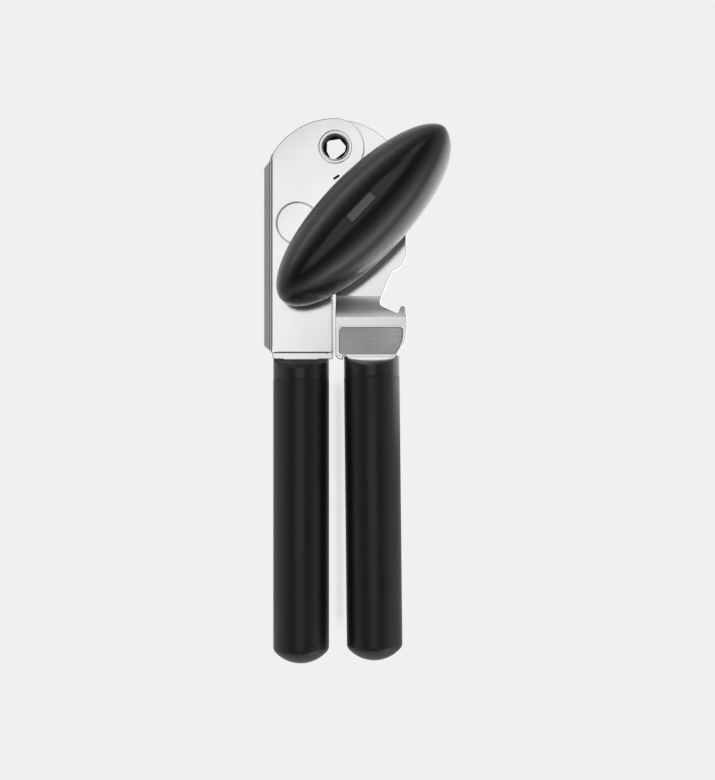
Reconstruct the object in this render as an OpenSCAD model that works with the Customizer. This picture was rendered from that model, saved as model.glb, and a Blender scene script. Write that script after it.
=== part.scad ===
// Manual can opener with two handles, a turning knob, a cutting wheel and a crown-cap lifter.
// Frame: origin on the pivot axis at the handles' mid-plane, +Y away from the handles, +Z towards the knob.

/* [Handles] */
// Outer diameter of each handle
handle_d = 18.3; // [15:0.1:22]
// Length of each handle, collar and grip together
handle_l = 100; // [80:1:120]
// Gap between the two handles where they leave the plates
handle_gap = 4.9; // [3:0.1:8]
// Outward lean of the drive handle
splay = 0.6; // [0:0.1:1.5]
// Length of the hard collar that shows above the soft grip
collar_l = 6.8; // [5:0.1:10]
// Radius of the shallow dome that closes each grip
dome_r = 11.5; // [10:0.1:20]
// Wall of the soft grip over its core
grip_wall = 2.6; // [1.5:0.1:3.5]

/* [Plates] */
// Thickness of both steel plates
plate_t = 1.6; // [1.2:0.1:2]
// Radius of the ear round the pivot
ear_r = 9.5; // [8:0.1:12]
// How far below the pivot the head's large arc has its centre
head_drop = 14.6; // [12:0.1:18]
// Distance from the pivot to the foot of the front plate
plate_l = 67.1; // [60:0.1:75]
// Depth of the side flange on the cutter plate
flange_h = 6.2; // [4:0.1:6.6]
// How far the side flange leans out
flange_out = 3.1; // [1:0.1:3.6]
// Depth of the lip turned down along the inner side of the cutter plate's foot
lip_h = 5; // [3:0.1:6]
// Width of the tang inside each handle
tang_w = 11; // [8:0.5:12]
// Length of the tang inside each handle
tang_l = 34; // [20:1:50]

/* [Wheels] */
// Diameter of the cutting wheel
cutter_d = 22.4; // [18:0.1:26]
// Diameter of the drive wheel over its teeth
drive_d = 22.5; // [17:0.1:25]
// Number of teeth on the drive wheel
teeth = 28; // [18:1:36]
// Depth of a tooth
tooth_h = 0.9; // [0.5:0.1:1.4]
// How far the two wheels overlap at the nip, seen along their axes
nip_overlap = 0.3; // [0.1:0.05:0.6]
// Thickness of the drive wheel
drive_t = 2.8; // [2:0.1:3.2]
// Thickness of the cutting wheel at its hub
cutter_t = 2.3; // [1.8:0.1:2.8]

/* [Knob] */
// Length of the knob
knob_l = 75.4; // [60:0.1:84]
// Width of the knob
knob_w = 27.4; // [22:0.1:32]
// Height of the knob above its widest line
knob_crown = 17; // [12:0.1:22]
// Depth of the knob below its widest line
knob_keel = 5.4; // [4:0.1:8]
// Direction of the knob's long axis from +X
knob_angle = 46.2; // [0:0.1:180]
// Wall of the knob's two shells
knob_wall = 2.2; // [1.6:0.1:3]
// Width of the narrow flat along the knob's crest
crest_w = 3.3; // [2:0.1:5]
// Length of the inlaid badge
badge_l = 10.8; // [6:0.1:14]
// Width of the inlaid badge
badge_w = 3.1; // [2:0.1:4.5]

/* [Pivot] */
// Bore of the hollow pivot rivet
bore_d = 8.2; // [6:0.1:10]
// Widest opening between the two arms
open_angle = 25; // [10:1:30]

/* [Hidden] */
$fn = 96;

steel = "silver";
dark_steel = "dimgray";
soft_black = [0.12, 0.12, 0.13];
hard_black = [0.16, 0.16, 0.17];

fit = 0.05;          // radial running clearance of a shaft in its bore
seat = 0.03;         // clearance between pieces that are pressed or moulded together
cut = 0.5;           // how far a cutting tool runs past a face

// Levels, from the front plate down
shim_t = 0.3;
front_top = plate_t / 2 + 1.8;
front_low = front_top - plate_t;
back_top = front_low - shim_t;
back_low = back_top - plate_t;
strip_drop = 1;                       // step from the front plate down to its foot strip
step_run = 0.35;                      // length of that step

// Pivot
bore_r = bore_d / 2;
rivet_r = bore_r + 0.8;
rivet_head_r = rivet_r + 0.6;
rivet_head_t = 0.7;
washer_t = 0.5;
roll_t = 0.8;
crimp_t = 0.4;

// Wheels and their axes
cutter_r = cutter_d / 2;
drive_r = drive_d / 2;
cutter_pos = [-12.3, -25];
nip_angle = 2.2;                      // direction from the cutting wheel to the drive wheel
nip_gap = cutter_r + drive_r - nip_overlap;
drive_pos = cutter_pos + nip_gap * [cos(nip_angle), sin(nip_angle)];

// Cutting wheel stack
stud_head_r = 6.85;
stud_head_t = 0.75;
stud_sink = 0.12;                     // the head lies this far below the plate's face
stud_r = 4.5;
journal_r = 3;
spacer_r = cutter_r - 3.9;
spring_t = 0.3;
bushing_foot = 0.25;                  // bushing below the back plate, staked over its ring
wheel_gap = 0.4;                      // space for the washer above the drive wheel
drive_top = back_low - bushing_foot - wheel_gap;
drive_low = drive_top - drive_t;
shear_gap = 0.25;                     // axial gap between the drive wheel and the cutting edge
cutter_top = drive_low - shear_gap;
cutter_low = cutter_top - cutter_t;
edge_t = 0.2;                         // land left at the cutting edge
edge_bevel = 2.6;                     // radial width of the cutting bevel
spacer_top = back_low - 0.4;
shoulder_low = spacer_top - spring_t;

// Drive stack
shaft_r = 3;
square_w = 4.2;
bushing_r = 4.2;
bushing_flange_r = 6;
bushing_flange_t = 1;
boss_r = 7;                           // round foot of the knob's hub, which bears on the bushing
boss_low = back_top + bushing_flange_t + 0.4;

// Knob levels and shape
knob_low = front_top + 2.2;
knob_mid = knob_low + knob_keel;
crown_power = 2;                      // cross-section over the widest line, round
spine_power = 4;                      // side view over the widest line, flat with round ends
keel_round = 1.7;                     // full depth of the keel's ellipse, as a share of what is left of it
crest_z = knob_mid + knob_crown * sqrt(1 - pow(crest_w / knob_w, crown_power));
part_z = knob_mid - 1.4;              // parting plane between the two shells
badge_t = 1;

// Plate outlines
head_r = ear_r + head_drop;
plate_right = -0.8;
left_x = cutter_pos[0] - cutter_r + 2.3;
right_x = drive_pos[0] + drive_r + 2.1;
joggle_top = -48.6;
joggle_low = -55.8;
panel_foot = -plate_l - 1.1;
arm_gap = 0.8;                        // gap between the two plates, side by side at the foot
foot_left = plate_right + arm_gap;
root_y = -plate_l - 2.3;              // where the handles begin

// Handles
handle_r = handle_d / 2;
core_r = handle_r - grip_wall;
hand_x = (handle_d + handle_gap) / 2;
mid_x = 0.2;
left_hand = [mid_x - hand_x, root_y];
right_hand = [mid_x + hand_x, root_y + 1];
mouth_r = 13;                         // plan radius of the scooped mouth
mouth_depth = 3.4;
mouth_floor = 0.2;                    // level that the core fills up to under the plate in the mouth
slope_run = 4.6;                      // length over which a plate runs down to its tang
slot_room = 0.12;                     // clearance over and under a plate inside its handle
dip_run = 9;                          // the same for the drive plate, which dips later
neck_w = handle_d - 1.7;              // width of the drive plate where it enters its handle

function arc(c, r, a0, a1, n = 24) = [for (i = [0:n]) c + r * [cos(a0 + (a1 - a0) * i / n), sin(a0 + (a1 - a0) * i / n)]];
function ease(t) = let (u = min(max(t, 0), 1)) u * u * (3 - 2 * u);
function ramp(y, y0, y1, z0, z1) = z0 + (z1 - z0) * ease((y - y0) / (y1 - y0));

// Mid-surface heights along Y of the two plates
function front_z(y) =
    let (top = (front_top + front_low) / 2, strip = top - strip_drop)
    y > -plate_l - 1 ? ramp(y, -plate_l, -plate_l - step_run, top, strip)
                     : ramp(y, root_y + 0.2, root_y - slope_run, strip, 0);
function back_z(y) =
    let (low = (back_top + back_low) / 2, high = (front_top + front_low) / 2)
    y > joggle_low - 1 ? ramp(y, joggle_top, joggle_low, low, high)
                       : ramp(y, panel_foot, panel_foot - dip_run, high, 0);

// Solid between two offset copies of a mid-surface curve, right across X
module sheet(heights) {
    low = [for (p = heights) [p[0], p[1] - plate_t / 2]];
    high = [for (i = [len(heights) - 1:-1:0]) [heights[i][0], heights[i][1] + plate_t / 2]];
    rotate([90, 0, 90]) linear_extrude(120, center = true) polygon(concat(low, high));
}

module cutter_sheet() {
    top = 30;
    tang_end = root_y - tang_l;
    steps = concat([top], [for (i = [0:8]) -plate_l - step_run * i / 8],
        [for (i = [0:12]) root_y + 0.2 - (slope_run + 0.2) * i / 12], [tang_end - cut]);
    sheet([for (y = steps) [y, front_z(y)]]);
}

module drive_sheet() {
    top = 30;
    tang_end = right_hand[1] - tang_l;
    steps = concat([top], [for (i = [0:14]) joggle_top + (joggle_low - joggle_top) * i / 14],
        [for (i = [0:12]) panel_foot - dip_run * i / 12], [tang_end - 2]);
    sheet([for (y = steps) [y, back_z(y)]]);
}

function turned(p, a) = [p[0] * cos(a) - p[1] * sin(a), p[0] * sin(a) + p[1] * cos(a)];

module cutter_outline() {
    left_angle = 180 - acos(-left_x / head_r);
    hand = left_hand[0];
    polygon(concat(
        arc([0, -head_drop], head_r, left_angle, 90, 20),
        arc([0, 0], ear_r, 90, -28, 28),
        [[plate_right, -19.5], [plate_right, root_y], [hand + tang_w / 2, root_y],
            [hand + tang_w / 2, root_y - tang_l], [hand - tang_w / 2, root_y - tang_l],
            [hand - tang_w / 2, root_y], [left_x + 0.5, root_y], [left_x + 0.5, -plate_l - 0.9], [left_x, -plate_l]]));
}

// The sloped flange down the outer side of the cutter plate
module side_flange() {
    lean = flange_out / flange_h;
    low = front_top - flange_h;
    skin = plate_t * sqrt(1 + lean * lean);
    intersection() {
        rotate([90, 0, 0]) translate([0, 0, -2]) linear_extrude(plate_l + 6)
            polygon([[left_x + 0.01, front_top], [left_x, front_top], [left_x - flange_out, low],
                [left_x - flange_out + skin, low], [left_x + skin - lean * plate_t, front_low],
                [left_x + skin + 0.6, front_low], [left_x + skin + 0.6, front_top]]);
        translate([0, 0, low - cut]) linear_extrude(flange_h + 2 * cut) polygon([
            [left_x + 3, flange_end_y()], [left_x, flange_end_y()], [left_x - flange_out - 1, flange_end_y() - 2.5],
            [left_x - flange_out - 1, -plate_l + 2.2], [left_x, -plate_l], [left_x + 3, -plate_l]]);
    }
}

// Lip down the inner side, below the part of the other plate that lies underneath
module inner_lip() {
    top_y = joggle_top - 1;
    translate([plate_right - plate_t, -plate_l, front_top - lip_h])
        cube([plate_t, plate_l + top_y, lip_h - plate_t / 2]);
}

function flange_end_y() = -head_drop + sqrt(head_r * head_r - left_x * left_x);

slit_l = 2.2;
slit_w = 0.6;
stop_r = 1.15;
stop_arc = 11.2;
stop_angle = -78;
stop_pos = stop_arc * [cos(stop_angle), sin(stop_angle)];
slit_pos = [0.4, -9.9];

module cutter_plate() color(steel) {
    difference() {
        union() {
            intersection() {
                cutter_sheet();
                translate([0, 0, -20]) linear_extrude(40) cutter_outline();
            }
            side_flange();
            inner_lip();
        }
        translate([0, 0, front_low - cut]) cylinder(r = rivet_r + fit, h = plate_t + 2 * cut);
        translate([cutter_pos[0], cutter_pos[1], front_low - cut]) cylinder(r = stud_r + seat, h = plate_t + 2 * cut);
        translate([cutter_pos[0], cutter_pos[1], front_top - stud_head_t - stud_sink])
            cylinder(r = stud_head_r + 0.1, h = plate_t);
        translate([slit_pos[0], slit_pos[1], front_low - cut]) rotate(33)
            linear_extrude(plate_t + 2 * cut) square([slit_l, slit_w], center = true);
    }
    // Half-pierced lug that stops the other arm
    translate([stop_pos[0], stop_pos[1], back_low]) cylinder(r = stop_r, h = front_low - back_low + 0.2);
}

module cutter_stud() color(steel) translate([cutter_pos[0], cutter_pos[1], 0]) {
    head_top = front_top - stud_sink;
    translate([0, 0, head_top - stud_head_t + seat]) cylinder(r = stud_head_r, h = stud_head_t - seat);
    translate([0, 0, spacer_top]) cylinder(r = stud_r, h = head_top - stud_head_t + 2 * seat - spacer_top);
    translate([0, 0, cutter_low - washer_t - 1]) cylinder(r = journal_r, h = spacer_top - cutter_low + washer_t + 1.2);
    // Peened end over the washer
    translate([0, 0, cutter_low - washer_t - 1.1]) cylinder(r1 = journal_r + 0.2, r2 = journal_r + 0.9, h = 0.9);
}

module ring(outer, inner, height) {
    difference() {
        cylinder(r = outer, h = height);
        translate([0, 0, -cut]) cylinder(r = inner, h = height + 2 * cut);
    }
}

module stud_washer() color(steel)
    translate([cutter_pos[0], cutter_pos[1], cutter_low - washer_t + 0.1]) ring(5.6, journal_r + fit, washer_t - 0.2);

module wave_washer() color(dark_steel)
    translate([cutter_pos[0], cutter_pos[1], spacer_top - spring_t + 0.02]) ring(5.4, journal_r + fit, spring_t - 0.07);

module rim_spacer() color(steel) translate([cutter_pos[0], cutter_pos[1], cutter_top + fit])
    ring(spacer_r, journal_r + fit, shoulder_low - cutter_top - fit);

module cutter_wheel() color(steel) translate([cutter_pos[0], cutter_pos[1], 0])
    difference() {
        union() {
            translate([0, 0, cutter_top - edge_t]) cylinder(r = cutter_r, h = edge_t);
            translate([0, 0, cutter_low])
                cylinder(r1 = cutter_r - edge_bevel, r2 = cutter_r, h = cutter_t - edge_t);
        }
        translate([0, 0, cutter_low - cut]) cylinder(r = journal_r + fit, h = cutter_t + 2 * cut);
    }

module pivot_rivet() color(steel) {
    low = back_low - washer_t;
    difference() {
        union() {
            translate([0, 0, low]) cylinder(r = rivet_r, h = front_top - low);
            translate([0, 0, front_top]) cylinder(r1 = rivet_head_r, r2 = rivet_head_r - 0.25, h = rivet_head_t);
            translate([0, 0, low - roll_t]) cylinder(r1 = rivet_head_r - 0.2, r2 = rivet_head_r + 0.3, h = roll_t);
        }
        translate([0, 0, low - roll_t + crimp_t]) cylinder(r = bore_r, h = 20);
        translate([0, 0, front_top + rivet_head_t - 0.5]) cylinder(r1 = bore_r, r2 = bore_r + 0.5, h = 0.51);
        // Star-crimped far end, bent in to an uneven five-sided opening
        translate([0, 0, low - roll_t - cut]) linear_extrude(roll_t + crimp_t)
            polygon(bore_r / 4.1 * [[-2.7, 3], [1.6, 3.6], [3.5, 1.2], [2.9, -0.4], [-0.6, -3.2], [-1.7, -2.9], [-2.6, -0.4]]);
    }
}

module pivot_shim() color(dark_steel) translate([0, 0, back_top + 0.03]) ring(8.6, rivet_r + fit, shim_t - 0.06);

module pivot_washer() color(steel) translate([0, 0, back_low - washer_t + 0.03]) ring(8, rivet_r + fit, washer_t - 0.06);

// Right-hand edge, from the head down past the crown-cap lifter and its hook
function lifter_edge() =
    let (x = right_x)
    concat([[x, -34.4]], arc([x - 5.9, -34.6], 5.9, -8, -62, 8),
        [[x - 4.6, -40.6], [x - 6.6, -45], [x - 7.7, -47.6], [x - 8.5, -50.1], [x - 8.5, -51.3], [x - 8, -51.9],
            [x - 3.4, -54.1]], arc([x - 3, -53.5], 0.7, -110, -20, 5), [[x - 2, -52.4]],
        arc([x - 1.05, -52.7], 0.9, 160, 20, 8), [[x, -54.5], [x + 0.2, -57.5], [x + 0.2, -59.3],
            [x - 0.2, -63.1], [x - 1, -64.9], [x - 2.2, -66.3], [x - 3, panel_foot]]);

function drive_tang() =
    [for (p = [[neck_w / 2, 0], [neck_w / 2 - 2.2, -slope_run], [tang_w / 2, -slope_run], [tang_w / 2, -tang_l],
        [-tang_w / 2, -tang_l], [-tang_w / 2, -slope_run], [2.2 - neck_w / 2, -slope_run], [-neck_w / 2, 0]])
        right_hand + turned(p, splay)];

module drive_outline() {
    near = -left_x - 2;               // this edge clears the cutting wheel's stud over the whole opening
    side = -5.5;
    foot_corner = right_hand[0] - handle_r - 0.12;
    foot_turn = -acos((foot_corner - foot_left - 1.9) / 1.9);
    meet_y = (head_r * head_r - near * near - head_drop * head_drop) / (2 * head_drop);
    polygon(concat(
        arc([0, -head_drop], head_r, 180 - asin((meet_y + head_drop) / head_r), acos(right_x / head_r), 40),
        lifter_edge(), drive_tang(),
        [[foot_corner, right_hand[1] + 0.06]], arc([foot_left + 1.9, panel_foot + 0.5], 1.9, foot_turn, -180, 8),
        [[foot_left, joggle_top + 0.6], [side, joggle_top + 0.6]],
        arc([0, 0], near, 360 - acos(side / near), 180 + asin(-meet_y / near), 20)));
}

module drive_plate() color(steel) {
    difference() {
        intersection() {
            drive_sheet();
            translate([0, 0, -20]) linear_extrude(40) drive_outline();
        }
        translate([0, 0, back_low - cut]) cylinder(r = rivet_r + fit, h = plate_t + 2 * cut);
        translate([drive_pos[0], drive_pos[1], back_low - cut]) cylinder(r = bushing_r + seat, h = plate_t + 2 * cut);
        // Arc slot that the other plate's lug runs in
        translate([0, 0, back_low - cut]) linear_extrude(plate_t + 2 * cut) stop_slot();
    }
}

module stop_slot() {
    reach = stop_r + 0.3;
    slack = 1;                        // extra turn at both ends of the slot
    start = stop_angle + slack;
    end = stop_angle - open_angle - slack;
    polygon(concat(
        arc([0, 0], stop_arc + reach, start, end, 14),
        arc(stop_arc * [cos(end), sin(end)], reach, end - 20, end - 160, 7),
        arc([0, 0], stop_arc - reach, end, start, 14),
        arc(stop_arc * [cos(start), sin(start)], reach, start + 160, start + 20, 7)));
}

module drive_bushing() color(steel) translate([drive_pos[0], drive_pos[1], 0])
    difference() {
        union() {
            translate([0, 0, back_top + seat]) cylinder(r = bushing_flange_r, h = bushing_flange_t - seat);
            translate([0, 0, back_low - bushing_foot]) cylinder(r = bushing_r, h = back_top - back_low + bushing_foot + 0.1);
        }
        translate([0, 0, back_low - 2]) cylinder(r = shaft_r + fit, h = 10);
    }

module bushing_ring() color(dark_steel) translate([drive_pos[0], drive_pos[1], back_low - bushing_foot])
    ring(bushing_flange_r, bushing_r + seat, bushing_foot - seat);

module drive_shaft() color(steel) translate([drive_pos[0], drive_pos[1], 0]) {
    top = part_z - 1;
    translate([0, 0, drive_top]) cylinder(r = shaft_r, h = boss_low + 2 - drive_top);
    translate([-square_w / 2, -square_w / 2, boss_low + 1.9]) cube([square_w, square_w, top - boss_low - 1.9]);
    translate([-square_w / 2, -square_w / 2, drive_low - washer_t]) cube([square_w, square_w, drive_t + washer_t + 0.1]);
    translate([0, 0, drive_low - washer_t - 0.9]) cylinder(r1 = shaft_r - 0.2, r2 = shaft_r + 0.4, h = 0.9);
}

module square_hole(height) {
    w = square_w + 2 * seat;
    translate([-w / 2, -w / 2, 0]) cube([w, w, height]);
}

module drive_wheel() color(steel) translate([drive_pos[0], drive_pos[1], drive_low])
    difference() {
        linear_extrude(drive_t - seat) polygon([for (i = [0:teeth - 1], s = [0:2])
            let (a = 360 / teeth * (i + [0, 0.42, 0.7][s]), r = drive_r - [0, 0.12, tooth_h][s]) r * [cos(a), sin(a)]]);
        translate([0, 0, -cut]) square_hole(drive_t + 2 * cut);
    }

module wheel_washer() color(dark_steel) translate([drive_pos[0], drive_pos[1], drive_top + 0.05])
    ring(5.4, shaft_r + fit, wheel_gap - 0.1);

module end_washer() color(steel) translate([drive_pos[0], drive_pos[1], drive_low - washer_t + seat])
    difference() {
        cylinder(r = 5.2, h = washer_t - 2 * seat);
        translate([0, 0, -cut]) square_hole(2);
    }

// One level of the knob's outside, seen from above, n points round; shrink is the wall taken off it
function knob_level(z, shrink, n) =
    let (l = knob_l / 2 - shrink, w = knob_w / 2 - shrink, crown = knob_crown - shrink,
        keel = knob_keel * keel_round - shrink, u = (z - knob_mid) / (z > knob_mid ? crown : keel),
        reach = z > knob_mid ? l * pow(1 - pow(u, spine_power), 1 / spine_power) : l * sqrt(1 - u * u))
    [for (j = [0:n - 1])
        let (x = reach * cos(360 * j / n), side = sin(360 * j / n), edge = w * sqrt(1 - pow(x / l, 2)),
            spine = pow(1 - pow(abs(x) / l, spine_power), 1 / spine_power))
        z > knob_mid ? [x, sign(side) * edge * pow(max(0, 1 - pow(u / spine, 2)), 1 / crown_power), z]
                     : [x, w * sqrt(1 - u * u) * side, z]];

module knob_body(low, high, shrink = 0) {
    n = 44;
    keel = knob_keel * keel_round - shrink;
    crown = knob_crown - shrink;
    rise = high > knob_mid ? asin((high - knob_mid) / crown) : 0;
    levels = concat(
        [for (i = [0:4]) if (low < knob_mid) low + (min(high, knob_mid) - low) * (1 - pow(1 - i / 4, 2))],
        [for (i = [1:13]) if (high > knob_mid) knob_mid + crown * sin(rise * i / 13)]);
    rows = len(levels);
    points = [for (z = levels) each knob_level(z, shrink, n)];
    sides = [for (i = [0:rows - 2], j = [0:n - 1]) let (a = i * n + j, b = i * n + (j + 1) % n) [a, a + n, b + n, b]];
    polyhedron(points, concat(sides, [[for (j = [0:n - 1]) j]], [[for (j = [n - 1:-1:0]) (rows - 1) * n + j]]));
}

module at_knob() translate([drive_pos[0], drive_pos[1], 0]) rotate(knob_angle) children();

module badge_block(grow, low) {
    translate([-badge_l / 2 - grow, -badge_w / 2 - grow, low]) cube([badge_l + 2 * grow, badge_w + 2 * grow, 6]);
}

module knob_top() color(hard_black) at_knob()
    difference() {
        knob_body(part_z + seat, crest_z);
        knob_body(part_z - cut, crest_z - knob_wall, knob_wall);
        badge_block(0.12, crest_z - badge_t);
    }

module knob_bottom() color(hard_black) at_knob()
    difference() {
        union() {
            difference() {
                knob_body(knob_low, part_z);
                knob_body(knob_low + knob_wall, part_z + cut, knob_wall);
            }
            translate([0, 0, knob_low + 0.5]) cylinder(r = boss_r, h = part_z - knob_low - 0.7);
        }
        rotate(-knob_angle) translate([0, 0, knob_low - cut]) insert_hole();
    }

insert_w = 7.6;
module insert_hole() {
    w = insert_w + 2 * seat;
    translate([-w / 2, -w / 2, 0]) cube([w, w, 30]);
}

// Hub with a round foot under the knob and a square shank moulded into it
module knob_insert() color(steel) translate([drive_pos[0], drive_pos[1], 0])
    difference() {
        union() {
            translate([0, 0, boss_low]) cylinder(r = boss_r, h = knob_low - seat - boss_low);
            translate([-insert_w / 2, -insert_w / 2, boss_low + 1])
                cube([insert_w, insert_w, part_z - 0.3 - boss_low - 1]);
        }
        translate([0, 0, boss_low]) square_hole(30);
        translate([0, 0, boss_low]) cylinder(r = shaft_r + fit, h = 2.1);
    }

module knob_badge() color(dark_steel) at_knob()
    translate([-badge_l / 2, -badge_w / 2, crest_z - badge_t + seat]) cube([badge_l, badge_w, badge_t - seat - 0.05]);

module knob_washer() color(dark_steel) translate([drive_pos[0], drive_pos[1], boss_low - 0.35])
    ring(6.4, shaft_r + fit, 0.3);

// Handle pieces, with the mouth at the origin and the handle running along -Y
module along_handle() rotate([90, 0, 0]) children();

// Scoop that shows the sloping plate between the collar's front edges
module open_mouth() {
    translate([0, mouth_r - mouth_depth, mouth_floor]) cylinder(r = mouth_r, h = handle_r);
}

// Oblique cut from the plate's face up to the top of the collar
module bevel_mouth(foot_z) {
    rotate([90, 0, 90]) linear_extrude(2 * handle_d, center = true) polygon([[cut, foot_z], [0, foot_z],
        [-mouth_depth, handle_r], [-mouth_depth, handle_r + cut], [cut, handle_r + cut]]);
}

module handle_core(open) {
    length = handle_l - grip_wall - 3;
    difference() {
        union() {
            along_handle() cylinder(r = handle_r - 0.05, h = collar_l);
            along_handle() translate([0, 0, collar_l - cut]) cylinder(r = core_r, h = length - collar_l + cut);
        }
        children();
        if (open) open_mouth();
        else bevel_mouth(front_top - strip_drop);
        mirror([0, 0, 1]) bevel_mouth(open ? plate_t / 2 - back_top : plate_t - front_top + strip_drop);
    }
}

module handle_grip() {
    start = collar_l + seat;
    difference() {
        intersection() {
            along_handle() translate([0, 0, start]) cylinder(r = handle_r, h = handle_l - start);
            translate([0, dome_r - handle_l, 0]) union() {
                sphere(r = dome_r);
                along_handle() translate([0, 0, -handle_l]) cylinder(r = dome_r, h = handle_l);
            }
        }
        along_handle() translate([0, 0, start - cut]) cylinder(r = core_r + seat, h = handle_l - grip_wall - 3 - start + cut + seat);
    }
}

// Room that a plate takes up inside its handle
module plate_room(heights, width, length) {
    room = plate_t / 2 + slot_room;
    low = [for (p = heights) [p[0], p[1] - room]];
    high = [for (i = [len(heights) - 1:-1:0]) [heights[i][0], heights[i][1] + room]];
    intersection() {
        rotate([90, 0, 90]) linear_extrude(60, center = true) polygon(concat(low, high));
        translate([-width / 2 - seat, -length - seat, -10]) cube([width + 2 * seat, length + 20, 20]);
    }
}

module left_core() color(hard_black) translate([left_hand[0], left_hand[1], 0])
    handle_core(false) {
        steps = concat([3], [for (i = [0:12]) 0.2 - (slope_run + 0.2) * i / 12], [-tang_l - seat]);
        plate_room([for (y = steps) [y, front_z(y + left_hand[1])]], tang_w, tang_l);
    }

module left_grip() color(soft_black) translate([left_hand[0], left_hand[1], 0]) handle_grip();

module right_core() color(hard_black) translate([right_hand[0], right_hand[1], 0]) rotate(splay)
    handle_core(true) {
        steps = concat([6], [for (i = [-2:14]) panel_foot - right_hand[1] - dip_run * i / 12], [-tang_l - seat]);
        room = [for (y = steps) [y, back_z(y + right_hand[1])]];
        plate_room(room, tang_w, tang_l);
        plate_room(room, neck_w + 0.4, slope_run + 0.2);
    }

module right_grip() color(soft_black) translate([right_hand[0], right_hand[1], 0]) rotate(splay) handle_grip();

cutter_plate();
cutter_stud();
stud_washer();
wave_washer();
cutter_wheel();
rim_spacer();
pivot_rivet();
pivot_shim();
pivot_washer();
left_core();
left_grip();
drive_plate();
drive_bushing();
bushing_ring();
right_core();
right_grip();
drive_shaft();
drive_wheel();
wheel_washer();
end_washer();
knob_top();
knob_bottom();
knob_insert();
knob_badge();
knob_washer();
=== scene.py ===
"""Manual can opener: the visible pieces, their finishes and the stage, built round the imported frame."""

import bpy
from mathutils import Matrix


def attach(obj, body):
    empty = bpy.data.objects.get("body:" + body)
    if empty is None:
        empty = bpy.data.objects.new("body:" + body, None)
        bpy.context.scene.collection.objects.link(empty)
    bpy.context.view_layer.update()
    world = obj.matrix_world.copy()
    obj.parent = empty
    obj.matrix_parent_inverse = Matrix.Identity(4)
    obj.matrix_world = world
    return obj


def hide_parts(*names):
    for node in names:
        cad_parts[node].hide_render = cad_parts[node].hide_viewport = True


bl_info = {
    "name": "Manual can opener",
    "version": (1, 0, 0),
    "blender": (4, 5, 0),
    "location": "3D View > Sidebar > Can opener",
    "description": "Builds a manual can opener piece by piece, with its finishes and a plain stage",
    "category": "Object",
}

import math

import bmesh
import bpy
import numpy as np
from bpy.props import FloatProperty, FloatVectorProperty, IntProperty, PointerProperty
from bpy.types import Operator, Panel, PropertyGroup
from mathutils import Vector, geometry

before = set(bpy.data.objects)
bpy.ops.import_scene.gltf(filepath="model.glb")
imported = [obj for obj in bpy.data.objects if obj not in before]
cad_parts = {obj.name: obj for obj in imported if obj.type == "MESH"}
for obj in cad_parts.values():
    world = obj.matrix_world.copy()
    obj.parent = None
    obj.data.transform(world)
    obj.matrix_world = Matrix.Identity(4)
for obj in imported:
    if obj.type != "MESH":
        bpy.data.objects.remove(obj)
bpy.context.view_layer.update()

MM = 0.001

# Levels and places in millimetres, as the design has them
PLATE_T = 1.6
HALF_T = PLATE_T / 2
FRONT_TOP, FRONT_LOW = 2.6, 1.0
BACK_TOP, BACK_LOW = 0.7, -0.9
STRIP_DROP = 1.0
PLATE_L = 67.1
ROOT_Y = -69.4
PANEL_FOOT = -68.2
SLOPE_RUN, DIP_RUN, STEP_RUN = 4.6, 9.0, 0.35
JOGGLE_TOP, JOGGLE_LOW = -48.6, -55.8
HEAD_DROP, EAR_R = 14.6, 9.5
HEAD_R = EAR_R + HEAD_DROP
CUTTER_POS = (-12.3, -25.0)
CUTTER_R, DRIVE_R, NIP_ANGLE, NIP_OVERLAP = 11.2, 11.25, 2.2, 0.3
NIP_GAP = CUTTER_R + DRIVE_R - NIP_OVERLAP
DRIVE_POS = (CUTTER_POS[0] + NIP_GAP * math.cos(math.radians(NIP_ANGLE)),
             CUTTER_POS[1] + NIP_GAP * math.sin(math.radians(NIP_ANGLE)))
FLANGE_OUT, FLANGE_H, LIP_H = 3.1, 6.2, 5.0
LEFT_X = CUTTER_POS[0] - CUTTER_R + 2.3
RIGHT_X = DRIVE_POS[0] + DRIVE_R + 2.1
PLATE_RIGHT, FOOT_LEFT = -0.8, 0.0
LEFT_HAND, RIGHT_HAND = (-11.4, ROOT_Y), (11.8, ROOT_Y + 1)
SPLAY = 0.6
TANG_W, TANG_L, NECK_W = 11.0, 34.0, 16.6
HANDLE_R, CORE_R, HANDLE_L, COLLAR_L, DOME_R = 9.15, 6.55, 100.0, 6.8, 11.5
BORE_R, RIVET_R, RIVET_HEAD_R = 4.1, 4.9, 5.5
STUD_HEAD_R, STUD_R, JOURNAL_R = 6.85, 4.5, 3.0
STUD_TOP, STUD_RECESS = 2.48, 0.87
KNOB_L, KNOB_W, KNOB_CROWN, KNOB_KEEL = 75.4, 27.4, 17.0, 5.4
KNOB_LOW, KNOB_MID, PART_Z, KNOB_WALL = 4.8, 10.2, 8.8, 2.2
KNOB_ANGLE, CREST_W = 46.2, 3.3
CROWN_POWER, SPINE_POWER, KEEL_ROUND = 2, 4, 1.7
CREST_Z = KNOB_MID + KNOB_CROWN * math.sqrt(1 - (CREST_W / KNOB_W) ** CROWN_POWER)


# ---------------------------------------------------------------- outlines

def arc(cx, cy, r, a0, a1, n=24):
    """Points on an arc, angles in degrees."""
    steps = [math.radians(a0 + (a1 - a0) * i / n) for i in range(n + 1)]
    return [(cx + r * math.cos(a), cy + r * math.sin(a)) for a in steps]


def circle(cx, cy, r, n=72):
    """Closed circle, anticlockwise."""
    return arc(cx, cy, r, 0, 360 - 360 / n, n - 1)


def ease(t):
    u = min(max(t, 0), 1)
    return u * u * (3 - 2 * u)


def ramp(y, y0, y1, z0, z1):
    return z0 + (z1 - z0) * ease((y - y0) / (y1 - y0))


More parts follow.
